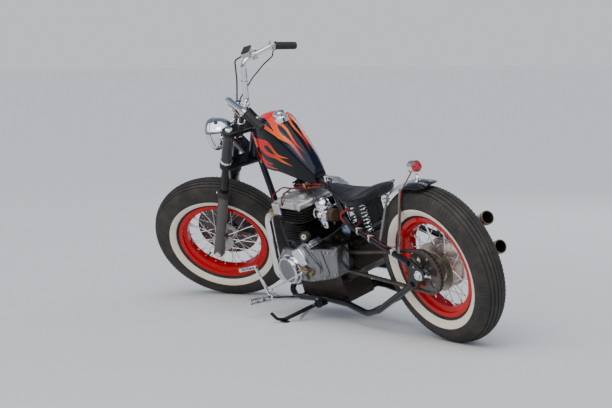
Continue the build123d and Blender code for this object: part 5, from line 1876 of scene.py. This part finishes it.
@dataclass
class Fork:
    """Fork legs with covers, seals and clamps, headlight, caliper bolts and stem nut."""

    gap: float = 100.0
    lower: float = 530.0
    upper: float = 722.0
    lamp: Vector = Vector(on_fork(605.0, 0.0, 89.0))

    def make_legs(self) -> None:
        """Makes both legs."""
        sliders, seals, tubes, covers, bolts = [], [], [], [], []
        for hand in (1, -1):
            foot = on_fork(0, hand * self.gap)
            sliders.append(
                Bench.lathe([(0, -24), (18, -24), (23, -21), (26, -14), (26, 24), (24.4, 30), (24.4, 312), (26, 317),
                (26, 338), (24, 345), (0, 345)], foot, ALONG_FORK, 44))
            sliders.append(Bench.rod(FRONT_AXLE + LEFT * hand * 75, FRONT_AXLE + LEFT * hand * 125.6, 23.5, 3, 36))
            sliders.append(Bench.block((-9, -14, -10), (9, 14, 10), 3))
            sliders[-1].data.transform(Matrix.Translation(on_fork(96, hand * self.gap, -25)))
            seals.append(
                Bench.lathe([(18.3, 345), (29, 345), (31, 348), (31, 358), (29.5, 360), (31, 362), (31, 368), (28, 373),
                (18.3, 373)], foot, ALONG_FORK, 40, True))
            tubes.append(Bench.rod(on_fork(350, hand * self.gap), on_fork(736, hand * self.gap), 18, 1, 36))
            covers.append(
                Bench.lathe([(18.4, 544.5), (24, 544.5), (25, 546), (25, 562), (24.2, 564), (24.2, 696), (25, 698),
                (25, 711.4), (18.4, 711.4)], foot, ALONG_FORK, 40, True))
            bolts += [
                Bench.lathe([(0, 742), (12, 742), (17, 740), (18.4, 737), (18.4, 732), (0, 732)], foot, ALONG_FORK, 24),
                Bench.lathe([(24.4, 548), (27.4, 549), (27.8, 552), (27.4, 557), (24.4, 558)], foot, ALONG_FORK, 40,
                True), Bench.rod(on_fork(354, hand * self.gap, 30), on_fork(354, hand * self.gap, 35), 5, 1, 12),
                Bench.rod(on_fork(-14, hand * self.gap - 8, -30), on_fork(-14, hand * self.gap - 8, 30), 4.6, 1, 12),
                Bench.rod(on_fork(-14, hand * self.gap + 8, -30), on_fork(-14, hand * self.gap + 8, 30), 4.6, 1, 12),
                Bench.rod(on_fork(self.lower, hand * 70, -32), on_fork(self.lower, hand * 70, 34), 5, 1, 12)]
        Bench.fit(sliders, "leg_sliders", "alloy", ["fork_sliders"], finish=Finishes.SLIDER, body=Body.FORK)
        Bench.fit(seals, "leg_seals", "rubber", body=Body.FORK)
        Bench.fit(tubes, "leg_tubes", "black_paint", ["fork_tubes"], body=Body.FORK)
        Bench.fit(covers, "leg_covers", "black_paint", finish=Finishes.GREY_PAINT, body=Body.FORK)
        nut = [
            Bench.rod(on_fork(734, 0, -FORK_OFFSET), on_fork(746, 0, -FORK_OFFSET), 19, 2, 6),
            Bench.lathe([(0, 16), (8, 15), (13, 11), (15, 5), (15, 0), (0, 0)], on_fork(744, 0, -FORK_OFFSET),
            ALONG_FORK, 28)]
        Bench.fit(bolts + nut, "leg_rings_and_bolts", "chrome", body=Body.FORK)

    def clamp_outline(self, radius: float) -> list[tuple[float, float]]:
        """Outline of a clamp round both legs and the stem, as distances ahead and to the left."""
        lean = degrees(atan2(self.gap, FORK_OFFSET))
        dent = radius * (self.gap + FORK_OFFSET ** 2 / self.gap) / sqrt(self.gap ** 2 + FORK_OFFSET ** 2) - FORK_OFFSET
        return (
            [(dent, 0.0)] + arc((0, self.gap), radius, lean - 90, lean + 90, 14) + arc((-FORK_OFFSET, 0), radius,
            lean + 90, 270 - lean, 8) + arc((0, -self.gap), radius, 270 - lean, 450 - lean, 14))

    def make_clamps(self) -> None:
        """Makes the lower and the upper clamp with the stem."""
        stem = Bench.rod(on_fork(self.lower, 0, -FORK_OFFSET), on_fork(self.upper + 24, 0, -FORK_OFFSET), 15, 1.5, 28)
        plates = []
        for level, thick in ((self.lower, 28), (self.upper, 20)):
            plate = Bench.plate(self.clamp_outline(30), on_fork(level - thick / 2), AHEAD_OF_FORK, LEFT, thick, 4, 3)
            for side in (self.gap, -self.gap):
                Bench.cut(plate, Bench.rod(on_fork(level - 40, side), on_fork(level + 40, side), 18.4, sides=36))
            plates.append(plate)
        Bench.fit([*plates, stem], "fork_clamps", "black_paint", ["triple_clamps"], body=Body.FORK)

    def make_lamp(self) -> None:
        """Makes the headlight's bucket with rim, dish and bulb."""
        ahead = Vector((1, 0, 0))
        bucket = Bench.lathe(
            [(0, -104), (10, -104), (26, -99.5), (44, -88), (58, -71), (67.5, -50), (72, -30), (72.6, -25), (75.5, -23),
            (76.4, -18), (76.4, -8), (75.6, -3), (72, 1), (69.3, 0), (69.3, -8.4), (64, -11), (52, -32), (30, -50),
            (0, -57)], self.lamp, ahead, 72)
        bulb = Bench.lathe([(0, -27), (5, -29), (8.4, -36), (8.4, -44), (5, -56), (0, -57)], self.lamp, ahead, 20)
        arms = []
        for hand in (1, -1):
            start, end = self.lamp + Vector((-56, hand * 50, 0)), on_fork(655, hand * self.gap)
            arms.append(Bench.rod(start, end, 8, 0, 20))
            run = (start - end).normalized()
            arms.append(
                Bench.lathe([(8, -4), (13, -4), (15, 0), (15, 7), (13, 11), (8, 11)], start - run * 14, run, 28, True))
        Bench.fit([bucket, bulb, *arms], "lamp_bucket", "chrome", ["headlight"], body=Body.FORK)
        hole = Bench.lathe(
            [(0, 4), (6, 4), (9, 2), (9, -2), (0, -2)], self.lamp + Vector((-52, 14, 65)), (-0.5, 0.2, 0.8), 24)
        Bench.fit(hole, "lamp_grommet", "rubber", body=Body.FORK)
        wires = [
            Bench.tube([self.lamp + Vector((-92, 8, 26)), self.lamp + Vector((-116, 14, 22)), on_fork(648, 30, -20),
            on_fork(600, 22, -46)], 3.0, 10), Bench.tube([self.lamp + Vector((-95, -4, 18)),
            self.lamp + Vector((-122, 2, 6)), on_fork(630, 20, -26), on_fork(580, 14, -54)], 3.0, 10)]
        Bench.fit(wires, "lamp_wires", "cloth_wire", body=Body.FORK)

    def build(self) -> None:
        """Builds the fork's pieces."""
        self.make_legs()
        self.make_clamps()
        self.make_lamp()


@dataclass
class Bars:
    """Risers, ribbed grips, and the brake and throttle controls on the handlebar."""

    upper: float = 722.0
    # Height over the upper clamp, distance out, distance ahead
    rows: tuple = ((238, 309, -186), (255, 250, -94), (219, 141, 11), (61, 55, -38))
    riser_gap: float = 32.0

    def corner(self, number: int, hand: int) -> Vector:
        """Corner of the handlebar's route on one side."""
        up, out, ahead = self.rows[number]
        return on_fork(self.upper + up, hand * out, ahead)

    def make_grips(self) -> None:
        """Makes the ribbed rubber grips."""
        grips = []
        for hand in (1, -1):
            end, start = self.corner(0, hand), self.corner(1, hand)
            run = (end - start).normalized()
            length = (end - start).length - 8
            profile = [(12.4, 0), (19.5, 0), (20, 2), (19.5, 4.5), (16.2, 6)]
            for number in range(16):
                base = 10 + number * (length - 22) / 16
                profile += [(16.0, base), (17.0, base + 1.0), (17.0, base + 3.2), (16.0, base + 4.2)]
            profile += [(16.6, length - 9), (17.0, length - 5), (15, length - 0.5), (0, length), (0, length - 3),
                        (12.4, length - 3)]
            grips.append(Bench.lathe(profile, start + run * 14, run, 36, True))
        Bench.fit(grips, "ribbed_grips", "rubber", ["grips"], body=Body.FORK)

    def make_risers(self) -> None:
        """Makes the risers with their clamp caps and bolts."""
        up, _, ahead = self.rows[-1]
        parts = []
        for hand in (1, -1):
            foot = on_fork(self.upper + 10.3, hand * self.riser_gap, ahead)
            parts.append(
                Bench.lathe([(0, 0), (17, 0), (17, 5), (14, 8), (14, 26), (15.5, 30), (15.5, 46), (0, 46)], foot,
                ALONG_FORK, 32))
            middle = on_fork(self.upper + up, hand * self.riser_gap, ahead)
            parts.append(Bench.rod(middle - LEFT * 12, middle + LEFT * 12, 21, 3, 36))
            for forward in (15, -15):
                for side in (6, -6):
                    bolt = middle + AHEAD_OF_FORK * forward + LEFT * side
                    parts.append(Bench.rod(bolt - ALONG_FORK * 14, bolt + ALONG_FORK * 21, 4.4, 1, 12))
        Bench.fit(parts, "bar_risers", "chrome", ["risers"], body=Body.FORK)

    def make_controls(self) -> None:
        """Makes the brake master cylinder with its lever, and the throttle housing."""
        outer, inner = self.corner(2, -1), self.corner(1, -1)
        seat = outer + (inner - outer) * 0.36
        run = (inner - outer).normalized()
        metal = [
            Bench.lathe([(12.8, -9), (18, -9), (19, -8), (19, 8), (18, 9), (12.8, 9)], seat, run, 36, True),
            Bench.block(seat + Vector((-2, -29, 10)), seat + Vector((39, 27, 37)), 5, 3),
            Bench.rod(seat + Vector((16, -30, 22)), seat + Vector((16, -14, 16)), 9, 2, 24),
            Bench.rod(seat + Vector((41, 20, 18)), seat + Vector((41, 20, 31)), 6.5, 1.5, 6),
            Bench.rod(seat + Vector((18, -22, 2)), seat + Vector((22, -22, 20)), 5.5, 1.2, 6)]
        for turn in (40, 220):
            metal.append(
                Bench.rod(seat + Vector((12 * cos(radians(turn)), 0, 17 * sin(radians(turn)) - 6)),
                seat + Vector((20 * cos(radians(turn)), 0, 17 * sin(radians(turn)) - 6)), 4, 1, 12))
        housing = Bench.lathe(
            [(12.8, -6), (21, -6), (22, -4.6), (22, -0.6), (21.3, 0), (22, 0.6), (22, 4.6), (21, 6), (12.8, 6)], inner,
            run, 40, True)
        metal += [housing, Bench.rod(inner + Vector((0, 0, -24)), inner + Vector((6, 2, -15)), 4.6, 1, 12)]
        Bench.fit(metal, "bar_controls", "alloy", ["hand_controls"], body=Body.FORK)
        route = [
            seat + Vector(place) for place in ((18, -18, 10), (30, -38, 8), (38, -58, -4), (22, -90, -30),
            (-8, -128, -62), (-28, -148, -76))]
        lever = Bench.join(
            [Bench.tube(route, 4.8, 14), Bench.lathe([(0, 9), (5, 8), (8, 4), (8.6, 0), (8, -4), (5, -8), (0, -9)],
            route[-1], route[-1] - route[-2], 20)])
        Bench.fit(lever, "brake_lever", "chrome", body=Body.FORK)
        cap = [Bench.block(seat + Vector((-1, -28, 37)), seat + Vector((38, 26, 42)), 2)]
        cap += [Bench.rod(seat + Vector((x, y, 40)), seat + Vector((x, y, 43.5)), 3, 0.6, 12)
                for x in (5, 32) for y in (-22, 20)]
        Bench.fit(cap, "master_cap", "plastic", body=Body.FORK)
        collars = []
        for hand in (1, -1):
            start, end = self.corner(2, hand), self.corner(3, hand)
            along = (end - start).normalized()
            collars.append(
                Bench.lathe([(12.8, -7), (16, -7), (16.8, -5), (16.8, 5), (16, 7), (12.8, 7)], start + along * 92,
                along, 32, True))
        Bench.fit(collars, "bar_collars", "chrome", body=Body.FORK)

    def build(self) -> None:
        """Builds all of it."""
        self.make_grips()
        self.make_risers()
        self.make_controls()


@dataclass
class Pipes:
    """Flanges, clamps and bronze tips of both exhaust pipes."""

    # End of the pipe, the corner before it
    tips: tuple = (((-176, -176, 362), (330, -184, 190)), ((-140, -176, 484), (370, -186, 262)))

    def build(self) -> None:
        """Builds all of it."""
        chrome, dark, rims = [], [], []
        for tip, before in self.tips:
            tip, before = Vector(tip), Vector(before)
            run = (tip - before).normalized()
            rims.append(
                Bench.lathe([(26.1, -16), (28.9, -16), (29.3, -8), (29.3, -1), (28, 0.8), (26.6, 0), (26.1, -6)], tip,
                run, 44, True))
            dark.append(
                Bench.lathe([(0, -88), (25.6, -88), (25.6, -1.2), (24.4, -1.2), (24.0, -84), (0, -84)], tip, run, 40))
            for back, radius in ((430, 28), (424, 22), (210, 28)):
                chrome.append(
                    Bench.lathe([(radius - 1, -7), (radius + 1.4, -7), (radius + 2, -5.5), (radius + 2, 5.5),
                    (radius + 1.4, 7), (radius - 1, 7)], tip - run * back, run, 40, True))
        for hand in (1, -1):
            port = Vector((914, hand * 80, 528.5))
            out = Vector((148, hand * 20, -25)).normalized()
            chrome.append(Bench.plate(round_rectangle(74, 44, 20, 6), port + out * 2, LEFT, LEFT.cross(out), 6, 1.5))
            for side in (-28, 28):
                foot = port + LEFT * side
                chrome.append(Bench.rod(foot, foot + out * 13, 6, 1.2, 6))
                chrome.append(Bench.rod(foot, foot + out * 20, 3.2, 0.6, 12))
        Bench.fit(chrome, "pipe_clamps", "chrome", finish=Finishes.STAINED_CHROME)
        Bench.fit(rims, "pipe_rims", "steel", finish=Finishes.BRONZE)
        Bench.fit(dark, "pipe_mouths", "steel", finish=Finishes.SOOT)


@dataclass
class FootGear:
    """Pegs with oval holes, gear lever and brake pedal, and the side stand's spring."""

    def side(self, hand: int) -> list[Piece]:
        """Makes one side's bracket, peg, lever and toe piece."""
        def at(x: float, y: float, z: float) -> Vector:
            """A point on this side."""
            return Vector((x, hand * y, z))

        start, end = at(957.5, 254, 169), at(955, 372, 196)
        run = (end - start).normalized()
        ahead = Vector((1, 0, 0))
        flat = ahead.cross(run).normalized()
        middle = (start + end) / 2
        peg = Bench.plate(round_rectangle((end - start).length, 27, 9, 6), middle - ahead * 7.5, run, flat, 15, 3.0, 3)
        for along in (-34, 0, 34):
            Bench.cut(
                peg, Bench.plate(round_rectangle(22, 11, 5.4, 5), middle + run * along - ahead * 20, run, flat, 40))
        parts = [
            peg, Bench.rod(start - run * 10, start + run * 6, 12, 2, 24),
            Bench.tube([at(962, 112, 112), at(960, 180, 139), at(958, 250, 167)], 10, 16),
            Bench.rod(at(958, 240, 164), at(958, 258, 171), 15, 2, 28),
            Bench.rod(at(962, 190, 141), at(1030, 205, 150), 8, 1, 20),
            Bench.rod(at(1030, 194, 150), at(1030, 224, 150), 13, 2.4, 28),
            Bench.rod(at(1030, 222, 150), at(1030, 229, 150), 8, 1.4, 6),
            Bench.tube([at(1030, 216, 150), at(1036, 219, 182), at(1048, 226, 240), at(1058, 232, 295)], 7, 14),
            Bench.rod(at(1058, 228, 296), at(1057, 240, 299), 11, 2, 20)]
        toe, tip = at(1057, 240, 299), at(1050, 318, 318)
        step = (tip - toe).normalized()
        for number in range(5):
            spot = toe + step * (8 + number * 15)
            parts.append(Bench.rod(spot, spot + step * 11, 10, 2.4, 20))
        parts.append(Bench.rod(toe, tip, 7, 1.5, 16))
        return parts

    def build(self) -> None:
        """Builds all of it."""
        gear = Bench.join([*self.side(1), *self.side(-1)])
        Bench.fit(gear, "foot_gear", "chrome", ["foot_controls"], finish=Finishes.STAINED_CHROME)
        shaft = [
            Bench.rod((1030, 208, 176), (742, 196, 292), 4, 0.6, 12), Bench.pin(1030, 176, 200, 215, 7, 1, 12),
            Bench.pin(742, 292, 180, 202, 6, 1, 12)]
        Bench.fit(shaft, "shift_rod", "chrome", finish=Finishes.STAINED_CHROME)
        spring = Bench.join(
            [Bench.coil((780, 158, 120), (792, 236, 84), 6.5, 1.5, 12),
            Bench.rod((779, 148, 122), (793, 244, 80), 1.5, 0, 8)])
        Bench.fit(spring, "stand_spring", "steel", body=Body.STAND)
        bolt = Bench.join(
            [Bench.rod((778, 134, 134), (778, 134, 143), 10, 1.6, 6),
            Bench.rod((778, 134, 94), (778, 134, 102), 9, 1.6, 6)])
        Bench.fit(bolt, "stand_bolt", "steel")


@dataclass
class UnderSeat:
    """Saddle springs, battery box, coil with its bracket, wires and small bolts round them."""

    def build(self) -> None:
        """Builds all of it."""
        springs = []
        for y in (62, -62):
            springs.append(Bench.coil((346, y, 480), (354, y, 604), 14.0, 2.6, 8))
            springs.append(
                Bench.lathe([(0, 0), (16, 0), (17, 2), (17, 6), (12, 8), (0, 8)], (346, y, 473), (0, 0, 1), 28))
            springs.append(
                Bench.lathe([(0, 0), (16, 0), (17, 2), (17, 6), (12, 8), (0, 8)], (354, y, 602), (0, 0, 1), 28))
        Bench.fit(springs, "coil_springs", "chrome", ["seat_springs"])
        box = [
            Bench.block((368, -52, 484), (438, 52, 574), 6, 3),
            Bench.block((366.5, -53.5, 571), (439.5, 53.5, 586), 4, 3)]
        box += [Bench.block((366, y - 7, 484), (440, y + 7, 586.5), 2) for y in (-24, 24)]
        Bench.fit(box, "battery_case", "plastic", ["battery_box"])
        loop = Bench.tube(
            [(440, 40, 566), (458, 66, 560), (482, 82, 552), (496, 84, 530), (486, 80, 508), (462, 70, 502),
            (440, 48, 510)], 5.5, 14)
        Bench.fit(loop, "breather_hose", "rubber", finish=Finishes.RED_HOSE)
        fittings = [
            Bench.block((438, -30, 516), (452, 44, 560), 2), Bench.rod((452, 26, 536), (474, 30, 536), 9, 2, 20),
            Bench.rod((452, 8, 550), (468, 10, 552), 6, 1, 6), Bench.rod((438, 48, 510), (456, 62, 504), 8, 1.5, 20),
            Bench.rod((440, 40, 566), (452, 58, 562), 8, 1.5, 20)]
        Bench.fit(fittings, "hose_fittings", "chrome")
        line = Vector((829.5, 0, 695.8 - 57))
        coil = [
            Bench.lathe([(0, -46), (18, -46), (23, -43), (24, -38), (24, 30), (22, 33), (22, 40), (16, 46), (0, 46)],
            line, LEFT, 36), Bench.rod(line + Vector((0, 40, 0)), line + Vector((0, 62, 0)), 8, 1.5, 20),
            Bench.rod(line + Vector((8, 44, 14)), line + Vector((8, 60, 14)), 4.5, 1, 6),
            Bench.rod(line + Vector((-10, 44, 12)), line + Vector((-10, 58, 12)), 4.5, 1, 6)]
        for y in (-26, 0, 26):
            coil.append(Bench.lathe([(23.8, -4), (26, -4), (26, 4), (23.8, 4)], line + LEFT * y, LEFT, 36, True))
        coil.append(Bench.rod(line, line + Vector((0, 0, 56)), 8, 0, 16))
        Bench.fit(coil, "coil_and_bands", "plastic", ["ignition_coil"], finish=Finishes.BROWN_ALLOY)
        tap = [
            Bench.rod((752, 40, 640), (752, 40, 668), 9, 1.5, 20), Bench.pin(752, 646, 32, 62, 6, 1, 16),
            Bench.block((744, 58, 636), (760, 64, 656), 2), Bench.rod((752, 40, 628), (752, 40, 642), 6, 1, 6)]
        Bench.fit(tap, "fuel_tap", "steel", finish=Finishes.BRASS)
        hose = Bench.tube([(752, 40, 630), (748, 42, 606), (720, 50, 622), (690, 58, 600), (668, 60, 570)], 4.2, 12)
        Bench.fit(hose, "fuel_hose", "rubber")
        wires = [
            Bench.tube([(700, 150, 440), (690, 158, 420), (664, 166, 414), (640, 150, 424), (600, 110, 440),
            (520, 90, 480), (440, 60, 520)], 2.4, 8), Bench.tube([(708, 148, 438), (712, 170, 424), (676, 182, 396),
            (630, 182, 350), (612, 176, 320)], 1.9, 8)]
        Bench.fit(wires, "switch_wires", "rubber")
        leads = [
            Bench.tube([(838, 108, 552), (828, 150, 590), (800, 120, 640), (760, 60, 640), (700, 20, 634)], 3.2, 10),
            Bench.tube([(812, 40, 640), (790, 70, 652), (740, 50, 648), (680, 20, 640), (650, 12, 634)], 3.2, 10)]
        Bench.fit(leads, "extra_leads", "cloth_wire")
        bolt = [
            Bench.rod((668, 0, 640), (662, 0, 668), 9, 1.5, 20), Bench.rod((662, 0, 664), (659, 0, 676), 12, 2.5, 6),
            Bench.block((640, -10, 632), (690, 10, 640), 2)]
        Bench.fit(bolt, "tank_bolt", "chrome")


def main() -> None:
    """Builds the machine's pieces in order."""
    logging.basicConfig(level=logging.INFO, format="%(name)s: %(message)s")
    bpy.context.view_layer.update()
    Studio().build()
    dress_solids()
    Wheel("rear", Body.REAR_WHEEL, REAR_AXLE, REAR_RADIUS, 65.0,
          [(9.5, 34), (62, 34), (66, 31), (98, 31), (104, 33), (104, 27), (98, 24), (99, 8), (101, -20), (104, -24),
           (104, -34), (96, -36), (90, -33), (9.5, -33)], 104.0, 30.0, hub_finish=Finishes.HUB).build()
    Wheel("front", Body.FRONT_WHEEL, FRONT_AXLE, FRONT_RADIUS, 64.0,
          [(9.5, 38), (40, 38), (44, 37), (52, 38), (52, 33), (40, 29), (34, 24), (32, 0), (34, -24), (40, -29),
           (52, -33), (52, -38), (42, -37), (9.5, -37)], 52.0, 35.0).build()
    for part in (
            Tank(), Saddle(), Engine(), Chain(), Axles(), Tail(), Fork(), Bars(), Pipes(), FootGear(), UnderSeat()):
        part.build()
        log.info("%s done", type(part).__name__)
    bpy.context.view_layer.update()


if __name__ == "__main__":
    main()
